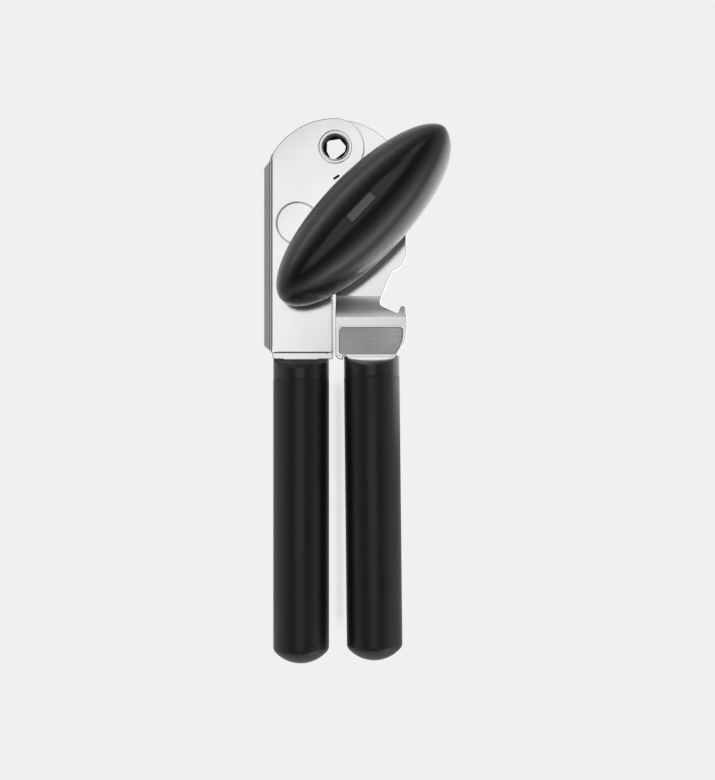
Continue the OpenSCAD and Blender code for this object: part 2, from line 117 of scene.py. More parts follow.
def front_z(y):
    """Height of the cutter plate's middle surface along Y."""
    top = (FRONT_TOP + FRONT_LOW) / 2
    strip = top - STRIP_DROP
    if y > -PLATE_L - 1:
        return ramp(y, -PLATE_L, -PLATE_L - STEP_RUN, top, strip)
    return ramp(y, ROOT_Y + 0.2, ROOT_Y - SLOPE_RUN, strip, 0)


def back_z(y):
    """Height of the drive plate's middle surface along Y."""
    low, high = (BACK_TOP + BACK_LOW) / 2, (FRONT_TOP + FRONT_LOW) / 2
    if y > JOGGLE_LOW - 1:
        return ramp(y, JOGGLE_TOP, JOGGLE_LOW, low, high)
    return ramp(y, PANEL_FOOT, PANEL_FOOT - DIP_RUN, high, 0)


def soften(points, radius, closed=True, least=20, steps=4):
    """Rounds the corners of an outline that turn by more than a few degrees."""
    loop = [Vector(p) for i, p in enumerate(points) if (Vector(p) - Vector(points[i - 1])).length > 1e-4]
    out, count = [], len(loop)
    for i, here in enumerate(loop):
        if not closed and i in (0, count - 1):
            out.append(here)
            continue
        back, ahead = loop[i - 1] - here, loop[(i + 1) % count] - here
        turn = math.pi - back.angle(ahead)
        if turn < math.radians(least):
            out.append(here)
            continue
        trim = min(radius * math.tan(turn / 2), back.length * 0.45, ahead.length * 0.45)
        start, end = here + back.normalized() * trim, here + ahead.normalized() * trim
        for k in range(steps + 1):
            t = k / steps
            out.append(start * (1 - t) ** 2 + here * 2 * t * (1 - t) + end * t * t)
    return out


def anticlockwise(points):
    loop = [Vector(p) for p in points]
    area = sum(a.x * b.y - b.x * a.y for a, b in zip(loop, loop[1:] + loop[:1]))
    return loop if area > 0 else loop[::-1]


def dense(points, step):
    """Adds points along the long sides; step is a function of a side's middle."""
    loop, out = [Vector(p) for p in points], []
    for a, b in zip(loop, loop[1:] + loop[:1]):
        parts = max(1, math.ceil((b - a).length / step((a + b) / 2)))
        out += [a.lerp(b, i / parts) for i in range(parts)]
    return out


def inset(loop, distance):
    """Moves a closed outline to its left by a distance, which is into the material."""
    out, count = [], len(loop)
    for i, here in enumerate(loop):
        a, b = (here - loop[i - 1]).normalized(), (loop[(i + 1) % count] - here).normalized()
        left = Vector((-a.y - b.y, a.x + b.x))
        left = left.normalized() if left.length > 1e-6 else Vector((-a.y, a.x))
        out.append(here + left * (distance / max(left.dot(Vector((-a.y, a.x))), 0.4)))
    return out


def inside(points, loop):
    """Which of an array of points lie inside an outline."""
    x, y = points[:, 0], points[:, 1]
    hit = np.zeros(len(points), bool)
    for a, b in zip(loop, loop[-1:] + loop[:-1]):
        if a.y == b.y:
            continue
        crosses = (a.y > y) != (b.y > y)
        hit ^= crosses & (x < a.x + (y - a.y) * (b.x - a.x) / (b.y - a.y))
    return hit


def filled(outer, holes, marks=(), grid=(), room=0.35):
    """Triangles between outlines, through extra loops and grid points: points, triangles, and where each input went."""
    loops = [outer, *holes, *marks]
    points, sides = [], []
    for loop in loops:
        start, count = len(points), len(loop)
        points += loop
        sides += [(start + i, start + (i + 1) % count) for i in range(count)]
    if len(grid):
        spots = np.array(grid, float)
        keep = inside(spots, inset(outer, room))
        for hole in holes:
            keep &= ~inside(spots, inset(hole, room))
        for mark in marks:
            keep &= inside(spots, inset(mark, room)) | ~inside(spots, inset(mark, -room))
        points += [Vector(p) for p in spots[keep]]
    out, _, faces, origins, _, _ = geometry.delaunay_2d_cdt(points, sides, [], 0, 1e-6)
    middles = np.array([[sum(out[i][k] for i in f) / 3 for k in (0, 1)] for f in faces])
    keep = inside(middles, outer)
    for hole in holes:
        keep &= ~inside(middles, hole)
    where = {}
    for i, sources in enumerate(origins):
        for s in sources:
            where[s] = i
    return out, [f for f, k in zip(faces, keep) if k], where


class Build:
    """Collects the vertices, faces and material numbers of one piece, in millimetres."""

    def __init__(self):
        self.points, self.faces, self.tags = [], [], []

    def add(self, points, faces, tag=0):
        start = len(self.points)
        self.points += [tuple(p) for p in points]
        self.faces += [tuple(start + i for i in f) for f in faces]
        self.tags += [tag] * len(faces) if isinstance(tag, int) else list(tag)
        return start

    def rings(self, rings, close_low=True, close_high=True, tag=0):
        """Skins a list of closed rings with the same number of points."""
        count = len(rings[0])
        faces = [(i * count + j, i * count + (j + 1) % count, (i + 1) * count + (j + 1) % count, (i + 1) * count + j)
                 for i in range(len(rings) - 1) for j in range(count)]
        if close_low:
            faces.append(tuple(range(count))[::-1])
        if close_high:
            faces.append(tuple((len(rings) - 1) * count + j for j in range(count)))
        return self.add([p for ring in rings for p in ring], faces, tag)

    def lathe(self, profile, place, segments=96, closed=True, wobble=None):
        """Turns a profile of (radius, height) round an axis; place maps (x, y, height) to the frame."""
        points, rows = [], []
        for r, h in profile:
            if r < 1e-6:
                rows.append([len(points)] * segments)
                points.append(place(0, 0, h))
                continue
            rows.append(list(range(len(points), len(points) + segments)))
            for j in range(segments):
                a = 2 * math.pi * j / segments
                points.append(place(r * math.cos(a), r * math.sin(a), h + (wobble(a) if wobble else 0)))
        pairs = list(zip(rows, rows[1:])) + ([(rows[-1], rows[0])] if closed else [])
        faces = []
        for low, high in pairs:
            for j in range(segments):
                k = (j + 1) % segments
                face = dict.fromkeys((low[j], low[k], high[k], high[j]))
                if len(face) > 2:
                    faces.append(tuple(face))
        return self.add(points, faces)

    def blank(self, outer, holes, place, half, edge, marks=(), grid=(), tag_marks=(), bend_steps=3):
        """Sheet with rounded edges. marks are (loop, depth) steps in its upper face; place maps (u, v, n) to the frame."""
        loops = [outer, *holes]
        tops = [inset(loop, edge) for loop in loops]
        mark_loops = [m[0] for m in marks]
        flat, triangles, where = filled(tops[0], tops[1:], mark_loops, grid, room=0.4)
        depth = np.zeros(len(flat))
        spots = np.array([[p[0], p[1]] for p in flat])
        for loop, drop in marks:
            depth[inside(spots, loop)] = drop
        first = sum(len(t) for t in tops)
        for loop, drop in marks:
            for i in range(len(loop)):
                depth[where[first + i]] = drop
            first += len(loop)
        high = [place(p[0], p[1], half - d) for p, d in zip(flat, depth)]
        low = [place(p[0], p[1], -half) for p in flat]
        tags = np.zeros(len(triangles), int)
        middles = np.array([[sum(flat[i][k] for i in f) / 3 for k in (0, 1)] for f in triangles])
        for loop, tag in tag_marks:
            tags[inside(middles, loop)] = tag
        tags = tags.tolist()
        start = self.add(high, triangles, tags)
        low_start = self.add(low, [f[::-1] for f in triangles])
        steps = [math.radians(90 * k / bend_steps) for k in range(1, bend_steps + 1)]
        first = 0
        for loop in loops:
            ids = [where[first + i] for i in range(len(loop))]
            drops = [depth[i] for i in ids]
            first += len(loop)
            rows = [[start + i for i in ids]]
            levels = [(edge * (1 - math.sin(a)), 1, edge * (1 - math.cos(a))) for a in steps]
            levels += [(inward, -1, rise) for inward, _, rise in levels[::-1]]
            for inward, side, rise in levels:
                ring = inset(loop, inward)
                points = [place(p.x, p.y, half - drop - rise if side > 0 else rise - half) for p, drop in zip(ring, drops)]
                at = self.add(points, [])
                rows.append(list(range(at, at + len(points))))
            rows.append([low_start + i for i in ids])
            count = len(loop)
            for a, b in zip(rows, rows[1:]):
                for j in range(count):
                    k = (j + 1) % count
                    self.faces.append((a[k], a[j], b[j], b[k]))
                    self.tags.append(0)

    def piece(self, name, body, nodes, materials, crease=35):
        """Makes the object, puts it on its body and in place of its CAD nodes."""
        mesh = bpy.data.meshes.new(name)
        mesh.from_pydata([(x * MM, y * MM, z * MM) for x, y, z in self.points], [], self.faces)
        for material in materials:
            mesh.materials.append(material)
        mesh.polygons.foreach_set("material_index", self.tags)
        work = bmesh.new()
        work.from_mesh(mesh)
        loose = [v for v in work.verts if not v.link_faces]
        bmesh.ops.delete(work, geom=loose, context="VERTS")
        bmesh.ops.recalc_face_normals(work, faces=work.faces)
        for face in work.faces:
            face.smooth = True
        for side in work.edges:
            side.smooth = len(side.link_faces) != 2 or side.calc_face_angle() < math.radians(crease)
        work.to_mesh(mesh)
        work.free()
        made = bpy.data.objects.new(name, mesh)
        bpy.context.scene.collection.objects.link(made)
        normals = made.modifiers.new("Even normals", "WEIGHTED_NORMAL")
        normals.keep_sharp = True
        normals.weight = 80
        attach(made, body)
        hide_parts(*nodes)
        return made


def upright(centre):
    """Place function for a lathe whose axis is vertical."""
    return lambda x, y, h: (centre[0] + x, centre[1] + y, h)


def along_handle(hand, splay):
    """Place function for a lathe whose axis runs down a handle."""
    c, s = math.cos(math.radians(splay)), math.sin(math.radians(splay))
    return lambda x, y, h: (hand[0] + x * c + h * s, hand[1] + x * s - h * c, y)


def flat_at(z):
    """Place function for a level sheet."""
    return lambda u, v, n: (u, v, z + n)


# ---------------------------------------------------------------- finishes

def add_node(tree, kind, values=None, **settings):
    """Adds a shader node, with its settings and the values or links of its inputs."""
    node = tree.nodes.new(kind)
    for key, value in settings.items():
        setattr(node, key, value)
    for key, value in (values or {}).items():
        socket = node.inputs[key]
        if isinstance(value, bpy.types.NodeSocket):
            tree.links.new(value, socket)
        else:
            socket.default_value = value
    return node


def maths(tree, operation, *values, clamp=False):
    node = tree.nodes.new("ShaderNodeMath")
    node.operation, node.use_clamp = operation, clamp
    for socket, value in zip(node.inputs, values):
        if isinstance(value, bpy.types.NodeSocket):
            tree.links.new(value, socket)
        else:
            socket.default_value = value
    return node.outputs[0]


def group(name, inputs, outputs):
    """Finds or makes a shader node group with named inputs and outputs."""
    found = bpy.data.node_groups.get(name)
    if found:
        return found, None, None
    tree = bpy.data.node_groups.new(name, "ShaderNodeTree")
    for label, default in inputs.items():
        kind = "NodeSocketVector" if isinstance(default, tuple) else "NodeSocketFloat"
        tree.interface.new_socket(name=label, in_out="INPUT", socket_type=kind).default_value = default
    for label in outputs:
        tree.interface.new_socket(name=label, in_out="OUTPUT", socket_type="NodeSocketFloat")
    return tree, tree.nodes.new("NodeGroupInput"), tree.nodes.new("NodeGroupOutput")


def brushing():
    """Fine lines left by a belt, running along X."""
    tree, took, gave = group("Brush lines", {"Across": 9000.0, "Along": 150.0}, ["Lines", "Streaks"])
    if took is None:
        return tree
    where = add_node(tree, "ShaderNodeTexCoord").outputs["Object"]
    for label, finer, detail in (("Lines", 1.0, 3.0), ("Streaks", 0.12, 2.0)):
        stretch = add_node(tree, "ShaderNodeCombineXYZ", {
            0: maths(tree, "MULTIPLY", took.outputs["Along"], finer),
            1: maths(tree, "MULTIPLY", took.outputs["Across"], finer),
            2: maths(tree, "MULTIPLY", took.outputs["Along"], finer)})
        spot = add_node(tree, "ShaderNodeVectorMath", {0: where, 1: stretch.outputs[0]}, operation="MULTIPLY")
        noise = add_node(tree, "ShaderNodeTexNoise", {"Vector": spot.outputs[0], "Scale": 1.0, "Detail": detail})
        tree.links.new(noise.outputs["Fac"], gave.inputs[label])
    return tree


def handling():
    """Broad soft smudges and a sparse scatter of fine specks."""
    tree, took, gave = group("Handling marks", {"Scale": 60.0}, ["Smudge", "Specks"])
    if took is None:
        return tree
    where = add_node(tree, "ShaderNodeTexCoord").outputs["Object"]
    smudge = add_node(tree, "ShaderNodeTexNoise",
                      {"Vector": where, "Scale": took.outputs["Scale"], "Detail": 4.0, "Roughness": 0.6})
    fine = add_node(tree, "ShaderNodeTexNoise", {
        "Vector": where, "Scale": maths(tree, "MULTIPLY", took.outputs["Scale"], 45.0), "Detail": 1.0})
    tree.links.new(maths(tree, "MULTIPLY_ADD", smudge.outputs["Fac"], 2.2, -0.6, clamp=True), gave.inputs["Smudge"])
    tree.links.new(maths(tree, "MULTIPLY_ADD", fine.outputs["Fac"], 8.0, -4.9, clamp=True), gave.inputs["Specks"])
    return tree


def grain():
    """Fine moulded or blasted grain: a height and the mask of its hollows."""
    tree, took, gave = group("Moulded grain", {"Scale": 4000.0}, ["Height", "Hollows"])
    if took is None:
        return tree
    where = add_node(tree, "ShaderNodeTexCoord").outputs["Object"]
    noise = add_node(tree, "ShaderNodeTexNoise",
                     {"Vector": where, "Scale": took.outputs["Scale"], "Detail": 2.0, "Roughness": 0.55})
    cells = add_node(tree, "ShaderNodeTexVoronoi",
                     {"Vector": where, "Scale": maths(tree, "MULTIPLY", took.outputs["Scale"], 0.7)},
                     feature="SMOOTH_F1")
    height = maths(tree, "MULTIPLY_ADD", cells.outputs["Distance"], 0.5, noise.outputs["Fac"])
    tree.links.new(height, gave.inputs["Height"])
    tree.links.new(maths(tree, "MULTIPLY_ADD", noise.outputs["Fac"], -5.0, 2.9, clamp=True), gave.inputs["Hollows"])
    return tree


def turning():
    """Rings left by turning or grinding about a vertical axis."""
    tree, took, gave = group("Turned rings", {"Centre": (0.0, 0.0, 0.0), "Pitch": 9000.0}, ["Rings"])
    if took is None:
        return tree
    where = add_node(tree, "ShaderNodeTexCoord").outputs["Object"]
    off = add_node(tree, "ShaderNodeVectorMath", {0: where, 1: took.outputs["Centre"]}, operation="SUBTRACT")
    level = add_node(tree, "ShaderNodeVectorMath", {0: off.outputs[0], 1: (1, 1, 0)}, operation="MULTIPLY")
    radius = add_node(tree, "ShaderNodeVectorMath", {0: level.outputs[0]}, operation="LENGTH").outputs["Value"]
    height = add_node(tree, "ShaderNodeSeparateXYZ", {0: where}).outputs[2]
    along = maths(tree, "MULTIPLY", maths(tree, "ADD", radius, height), took.outputs["Pitch"])
    noise = add_node(tree, "ShaderNodeTexNoise", {"W": along, "Scale": 1.0, "Detail": 2.0}, noise_dimensions="1D")
    tree.links.new(noise.outputs["Fac"], gave.inputs["Rings"])
    return tree


def wear():
    """Mask of convex edges that handling has brightened."""
    tree, took, gave = group("Edge wear", {"Start": 0.515, "Gain": 18.0}, ["Worn"])
    if took is None:
        return tree
    sharp = add_node(tree, "ShaderNodeNewGeometry").outputs["Pointiness"]
    over = maths(tree, "SUBTRACT", sharp, took.outputs["Start"])
    tree.links.new(maths(tree, "MULTIPLY", over, took.outputs["Gain"], clamp=True), gave.inputs["Worn"])
    return tree


def placed(tree, made, **values):
    """Puts a node group in a material with its own values."""
    node = tree.nodes.new("ShaderNodeGroup")
    node.node_tree = made
    for key, value in values.items():
        node.inputs[key].default_value = value
    return node.outputs


def mixed(tree, factor, low, high):
    """Colour between two tones."""
    node = add_node(tree, "ShaderNodeMix", data_type="RGBA")
    tree.links.new(factor, node.inputs["Factor"])
    node.inputs["A"].default_value = (*low, 1)
    node.inputs["B"].default_value = (*high, 1)
    return node.outputs["Result"]


def finish_of(name, metallic, coat=0.0, specular=0.5):
    """A new material with its Principled shader, its tree, and a Bump that feeds the normal."""
    material = bpy.data.materials.new(name)
    material.use_nodes = True
    tree = material.node_tree
    shader = tree.nodes["Principled BSDF"]
    shader.inputs["Metallic"].default_value = metallic
    shader.inputs["Specular IOR Level"].default_value = specular
    shader.inputs["Coat Weight"].default_value = coat
    shader.inputs["Coat Roughness"].default_value = 0.08
    bump = add_node(tree, "ShaderNodeBump", {"Distance": 0.00002})
    tree.links.new(bump.outputs[0], shader.inputs["Normal"])
    return material, tree, shader, bump


def steel(name, tone, roughness, lines, centre=None, streaks=0.05, worn=0.12, depth=0.25, specks=0.0):
    """Bright steel with belt lines or turned rings, smudges and polished edges."""
    found = bpy.data.materials.get(name)
    if found:
        return found
    material, tree, shader, bump = finish_of(name, 1.0)
    marks = placed(tree, handling(), Scale=70.0)
    edges = placed(tree, wear(), Start=0.52, Gain=14.0)["Worn"]
    if centre is None:
        made = placed(tree, brushing(), Across=9000.0, Along=220.0)
        pattern, broad = made["Lines"], made["Streaks"]
    else:
        pattern = placed(tree, turning(), Centre=(centre[0] * MM, centre[1] * MM, 0), Pitch=7000.0)["Rings"]
        broad = marks["Smudge"]
    dark, light = [c * (1 - streaks) for c in tone], [min(1, c * (1 + streaks)) for c in tone]
    base = mixed(tree, broad, dark, light)
    if specks:
        dotted = add_node(tree, "ShaderNodeMix", data_type="RGBA")
        tree.links.new(maths(tree, "MULTIPLY", marks["Specks"], specks), dotted.inputs["Factor"])
        tree.links.new(base, dotted.inputs["A"])
        dotted.inputs["B"].default_value = (*[c * 0.45 for c in tone], 1)
        base = dotted.outputs["Result"]
    tree.links.new(base, shader.inputs["Base Color"])
    rough = maths(tree, "MULTIPLY_ADD", pattern, lines, roughness - lines / 2)
    rough = maths(tree, "MULTIPLY_ADD", marks["Smudge"], roughness * 0.35, rough)
    rough = maths(tree, "MULTIPLY_ADD", edges, -worn * roughness, rough, clamp=True)
    tree.links.new(rough, shader.inputs["Roughness"])
    tree.links.new(pattern, bump.inputs["Height"])
    bump.inputs["Strength"].default_value = depth
    return material


def black(name, tone, roughness, scale, depth, coat=0.0, specular=0.5, worn=0.5, distance=0.00002, sheen=0.0):
    """Black plastic or rubber with moulded grain, smudges and slightly polished edges."""
    found = bpy.data.materials.get(name)
    if found:
        return found
    material, tree, shader, bump = finish_of(name, 0.0, coat, specular)
    marks = placed(tree, handling(), Scale=45.0)
    fine = placed(tree, grain(), Scale=scale)
    edges = placed(tree, wear(), Start=0.52, Gain=10.0)["Worn"]
    tone_mix = maths(tree, "MULTIPLY_ADD", fine["Hollows"], -0.4, maths(tree, "MULTIPLY_ADD", marks["Smudge"], 0.35, 0.5))
    tone_mix = maths(tree, "MULTIPLY_ADD", edges, worn, tone_mix, clamp=True)
    tree.links.new(mixed(tree, tone_mix, [c * 0.55 for c in tone], [c * 1.5 for c in tone]), shader.inputs["Base Color"])
    rough = maths(tree, "MULTIPLY_ADD", marks["Smudge"], roughness * 0.3, roughness * 0.87)
    rough = maths(tree, "MULTIPLY_ADD", fine["Hollows"], roughness * 0.2, rough, clamp=True)
    tree.links.new(rough, shader.inputs["Roughness"])
    tree.links.new(fine["Height"], bump.inputs["Height"])
    bump.inputs["Strength"].default_value = depth
    bump.inputs["Distance"].default_value = distance
    shader.inputs["Sheen Weight"].default_value = sheen
    shader.inputs["Sheen Roughness"].default_value = 0.3
    return material


def plate_finish():
    look = bpy.context.scene.opener_plates
    return steel("Polished sheet", list(look.colour), look.roughness, 0.04, streaks=0.015, depth=0.05)


def dull_finish():
    look = bpy.context.scene.opener_plates
    return steel("Dull pressed panel", [c * 0.7 for c in look.colour], 0.38, 0.1, streaks=0.12, depth=0.5, specks=1.0)


# Steel brighter than the sheet for the joggle's slope: painted highlight, for the light the slope catches.
def joggle_highlight_finish():
    look = bpy.context.scene.opener_plates
    return steel("Joggle steel, painted highlight", [min(1, c * 1.15) for c in look.colour], 0.36, 0.12, streaks=0.1, depth=0.7)


# Half-bright steel for the flange's leaning slope: painted shade, for the dark that side reflects. Its roughness is the
# flange's own.
def flange_shade_finish():
    look = bpy.context.scene.opener_plates
    return steel("Flange steel, painted shade", [c * 0.5 for c in look.colour], 0.34, 0.1, streaks=0.12, depth=0.4, specks=0.5)


# Near-black steel that stands for shade: painted shade inside the rivet's bore and on its crimped floor, along the
# flange's crease and in the stop slit.
def painted_shade_finish():
    return steel("Near-black steel, painted shade", [0.03, 0.03, 0.031], 0.45, 0.1, depth=0.3)


def ground_finish(name, centre):
    look = bpy.context.scene.opener_wheels
    return steel(name, list(look.colour), look.roughness, 0.12, centre=centre, depth=0.3)


def washer_finish(name, centre):
    return steel(name, [0.45, 0.45, 0.46], 0.34, 0.12, centre=centre, depth=0.3)


def rivet_finish(name, centre, roughness=0.14):
    return steel(name, [0.76, 0.76, 0.77], roughness, 0.05, centre=centre, depth=0.1)


def dress(node, material, bevel, segments=3):
    """Gives a CAD node its finish and softens its edges."""
    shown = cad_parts[node]
    shown.data.materials.clear()
    shown.data.materials.append(material)
    soft = shown.modifiers.new("Soft edges", "BEVEL")
    soft.width = bevel * MM
    soft.segments = segments
    soft.limit_method = "ANGLE"
    soft.angle_limit = math.radians(35)
    soft.harden_normals = False
    shown.data.shade_smooth()
    normals = shown.modifiers.new("Even normals", "WEIGHTED_NORMAL")
    normals.keep_sharp = True


# ---------------------------------------------------------------- settings

class PlateSettings(PropertyGroup):
    edge: FloatProperty(name="Edge radius", description="Rounding of the plates' edges in millimetres",
                        default=0.24, min=0.1, max=0.7)
    bend: FloatProperty(name="Flange bend", description="Outer radius of the flange's bend in millimetres",
                        default=1.0, min=0.8, max=2.4)
    roughness: FloatProperty(name="Roughness", description="Roughness of the polished sheet", default=0.13,
                             min=0.02, max=0.6, subtype="FACTOR")
    colour: FloatVectorProperty(name="Steel", description="Reflection colour of the sheet", default=(0.80, 0.805, 0.81),
                                min=0, max=1, subtype="COLOR", size=3)


class WheelSettings(PropertyGroup):
    colour: FloatVectorProperty(name="Steel", description="Reflection colour of the wheels", default=(0.62, 0.62, 0.63),
                                min=0, max=1, subtype="COLOR", size=3)
    roughness: FloatProperty(name="Roughness", description="Roughness of the ground faces", default=0.24,
                             min=0.02, max=0.6, subtype="FACTOR")
    teeth: IntProperty(name="Teeth", description="Number of teeth on the drive wheel", default=28, min=18, max=36)


class KnobSettings(PropertyGroup):
    colour: FloatVectorProperty(name="Shell", description="Colour of the knob's shells", default=(0.003, 0.003, 0.0034),
                                min=0, max=1, subtype="COLOR", size=3)
    badge: FloatVectorProperty(name="Badge", description="Colour of the plain inlay", default=(0.14, 0.14, 0.143),
                               min=0, max=1, subtype="COLOR", size=3)
    roughness: FloatProperty(name="Roughness", description="Roughness of the shells", default=0.25,
                             min=0.02, max=0.6, subtype="FACTOR")


class HandleSettings(PropertyGroup):
    grip: FloatVectorProperty(name="Grip", description="Colour of the soft grips", default=(0.007, 0.007, 0.0075),
                              min=0, max=1, subtype="COLOR", size=3)
    collar: FloatVectorProperty(name="Collar", description="Colour of the hard collars", default=(0.012, 0.012, 0.0125),
                                min=0, max=1, subtype="COLOR", size=3)
    roughness: FloatProperty(name="Roughness", description="Roughness of the soft grips", default=0.34,
                             min=0.02, max=0.9, subtype="FACTOR")


class StageSettings(PropertyGroup):
    distance: FloatProperty(name="Camera height", description="Height of the camera over the plates", default=0.4,
                            min=0.2, max=1.5, unit="LENGTH")
    backdrop: FloatProperty(name="Backdrop", description="Brightness of the floor as the camera sees it", default=0.871,
                            min=0, max=1, subtype="FACTOR")
    overhead: FloatProperty(name="Overhead", description="Brightness of the overhead light", default=1.06, min=0, max=5)


# ---------------------------------------------------------------- pieces

def sheet_step(y0, y1):
    """Step function for dense(): close between two levels of Y, coarse elsewhere."""
    return lambda p: 0.3 if y0 < p.y < y1 else 1.2


class OPENER_OT_cutter_plate(Operator):
    """Front plate: rounded head, leaning side flange, inner lip, stepped foot and tang"""
    bl_idname = "opener.cutter_plate"
    bl_label = "Cutter plate"

    def execute(self, context):
        edge, bend = context.scene.opener_plates.edge, context.scene.opener_plates.bend
        lean = math.atan2(FLANGE_OUT, FLANGE_H)
        turn = math.pi / 2 - lean
        bend_u = LEFT_X + bend * math.tan(turn / 2)
        slope = math.hypot(FLANGE_OUT, FLANGE_H) - bend * math.tan(turn / 2) - 0.4
        left_u = bend_u - bend * turn - slope
        lip_r, lip_top = 0.45, JOGGLE_TOP - 1
        lip_u = PLATE_RIGHT - lip_r
        lip_end = lip_u + lip_r * math.pi / 2 + LIP_H - lip_r

        def bent(s, n, radius, angle):
            r = max(radius - HALF_T + n, 0.02)
            a = min(s / radius, angle)
            d = max(s - radius * angle, 0)
            return r * math.sin(a) + d * math.cos(angle), HALF_T - radius + r * math.cos(a) - d * math.sin(angle)

        def place(u, v, n):
            z = front_z(v)
            if u < bend_u and v > -PLATE_L - 0.01:
                dx, dz = bent(bend_u - u, n, bend, turn)
                return bend_u - dx, v, z + dz
            if u > lip_u and -PLATE_L - 0.01 < v < lip_top + 0.01:
                dx, dz = bent(u - lip_u, n, lip_r, math.pi / 2)
                return lip_u + dx, v, z + dz
            return u, v, z + n

        hand = LEFT_HAND[0]
        start = 180 - math.degrees(math.acos(-bend_u / HEAD_R))
        corner = -HEAD_DROP + HEAD_R * math.sin(math.radians(start))
        outline = (
            [(left_u, -5.6), (bend_u - 1.6, corner - 2.3), (bend_u - 0.6, corner - 0.75)]
            + arc(0, -HEAD_DROP, HEAD_R, start, 90, 40) + arc(0, 0, EAR_R, 90, -28, 30)[1:]
            + [(PLATE_RIGHT, -19.5), (PLATE_RIGHT, lip_top + 0.15), (lip_u, lip_top + 0.15), (lip_u, lip_top),
               (lip_end, lip_top), (lip_end, -PLATE_L + 0.1), (lip_u, -PLATE_L + 0.1), (lip_u, -PLATE_L - 0.05),
               (PLATE_RIGHT, -PLATE_L - 0.05), (PLATE_RIGHT, ROOT_Y), (hand + TANG_W / 2, ROOT_Y),
               (hand + TANG_W / 2, ROOT_Y - TANG_L), (hand - TANG_W / 2, ROOT_Y - TANG_L),
               (hand - TANG_W / 2, ROOT_Y), (LEFT_X + 0.5, ROOT_Y), (LEFT_X + 0.5, -PLATE_L - 0.8),
               (LEFT_X + 0.25, -PLATE_L - 0.3), (bend_u - 0.9, -PLATE_L + 0.1), (left_u, -PLATE_L + 2.2)])
        outer = anticlockwise(dense(soften(outline, 0.6, least=30), sheet_step(-74.5, -66.5)))
        slit = [(0.4 + x * math.cos(math.radians(33)) - y * math.sin(math.radians(33)),
                 -9.9 + x * math.sin(math.radians(33)) + y * math.cos(math.radians(33)))
                for x, y in ((-1.1, -0.3), (1.1, -0.3), (1.1, 0.3), (-1.1, 0.3))]
        holes = [anticlockwise(circle(0, 0, RIVET_R + 0.3))[::-1], anticlockwise(circle(*CUTTER_POS, STUD_R + 0.28))[::-1]]
        recess = [(inset(loop, edge + 0.12), 0.0) for loop in (outer, holes[0])]
        recess += [(anticlockwise(circle(*CUTTER_POS, STUD_HEAD_R + grow, 96)), drop)
                  for grow, drop in ((0.42, 0.0), (0.32, 0.0), (0.2, 0.04), (0.12, 0.14), (0.1, STUD_RECESS))]
        slit = anticlockwise(soften(slit, 0.25))
        recess += [(inset(slit, grow), drop) for grow, drop in ((-0.1, 0.0), (0.0, 0.1), (0.03, 1.2))]
        slope_u = bend_u - bend * turn
        # The flange's leaning slope, which takes the half-bright steel: painted shade.
        shaded_flange = [(left_u + 0.3, -6.2), (left_u + 0.3, -PLATE_L + 2.4), (slope_u - 0.3, -PLATE_L + 0.9), (slope_u - 0.3, -4.6)]
        crease = [(slope_u - 0.25, -4.0), (slope_u - 0.25, -PLATE_L + 0.7), (slope_u + 0.3, -PLATE_L + 0.6),
                  (slope_u + 0.3, -3.7)]
        shaded_flange, crease = [anticlockwise(dense(loop, lambda p: 1.2)) for loop in (shaded_flange, crease)]
        recess += [(crease, 0.0), (inset(crease, 0.12), 0.14)]
        fold = [(slope_u + 0.6, -4.6), (slope_u + 0.6, -PLATE_L + 1.2), (bend_u, -PLATE_L + 1.2), (bend_u, -4.6)]
        fold = anticlockwise(dense(fold, lambda p: 0.5))
        recess += [(inset(fold, -0.15), 0.0), (fold, 0.0)]
        us = [left_u + 0.3 + (slope - 0.6) * i / 3 for i in range(4)]
        us += [bend_u - bend * turn * (1 - i / 8) for i in range(9)]
        us += [bend_u + 1.5 * i for i in range(1, 13)]
        us += [lip_u + lip_r * math.pi / 2 * i / 6 for i in range(7)] + [lip_end - 2.8, lip_end - 1.2]
        us += [1.5 * i + 0.7 for i in range(7)]
        vs = [8 - 1.3 * i for i in range(57)]
        vs += [-PLATE_L + 0.35 - 0.15 * i for i in range(20)] + [ROOT_Y + 0.2 - 0.4 * i for i in range(13)]
        vs += [-80, -90, -100]
        # The crease along the flange's bend and the stop slit take the near-black steel: painted shade.
        build = Build()
        build.blank(outer, holes, place, HALF_T, edge, recess, [(u, v) for u in us for v in vs],
                    tag_marks=((shaded_flange, 1), (crease, 2), (slit, 2)))
        # Half-pierced lug that stops the other arm
        lug = (11.2 * math.cos(math.radians(-78)), 11.2 * math.sin(math.radians(-78)))
        profile = soften([(0, BACK_LOW), (1.15, BACK_LOW), (1.15, FRONT_LOW + 0.1), (0, FRONT_LOW + 0.1)], 0.25, closed=False)
        build.lathe(profile, upright(lug), 32, closed=False)
        build.piece("cutter_plate_sheet", "cutter_arm", ["cutter_plate"],
                    [plate_finish(), flange_shade_finish(), painted_shade_finish()])
        return {"FINISHED"}


def lifter_edge():
    """Right-hand edge of the drive plate, down past the crown-cap notch and its hook."""
    x = RIGHT_X
    return (
        [(x, -34.4)] + arc(x - 5.9, -34.6, 5.9, -8, -62, 16)
        + [(x - 4.6, -40.6), (x - 6.6, -45), (x - 7.7, -47.6), (x - 8.5, -50.1), (x - 8.5, -51.3), (x - 8, -51.9),
           (x - 3.4, -54.1)]
        + arc(x - 3, -53.5, 0.7, -110, -20, 6) + [(x - 2, -52.4)] + arc(x - 1.05, -52.7, 0.9, 160, 20, 12)
        + [(x, -54.5), (x + 0.2, -57.5), (x + 0.2, -59.3), (x - 0.2, -63.1), (x - 1, -64.9), (x - 2.2, -66.3),
           (x - 3, PANEL_FOOT)])


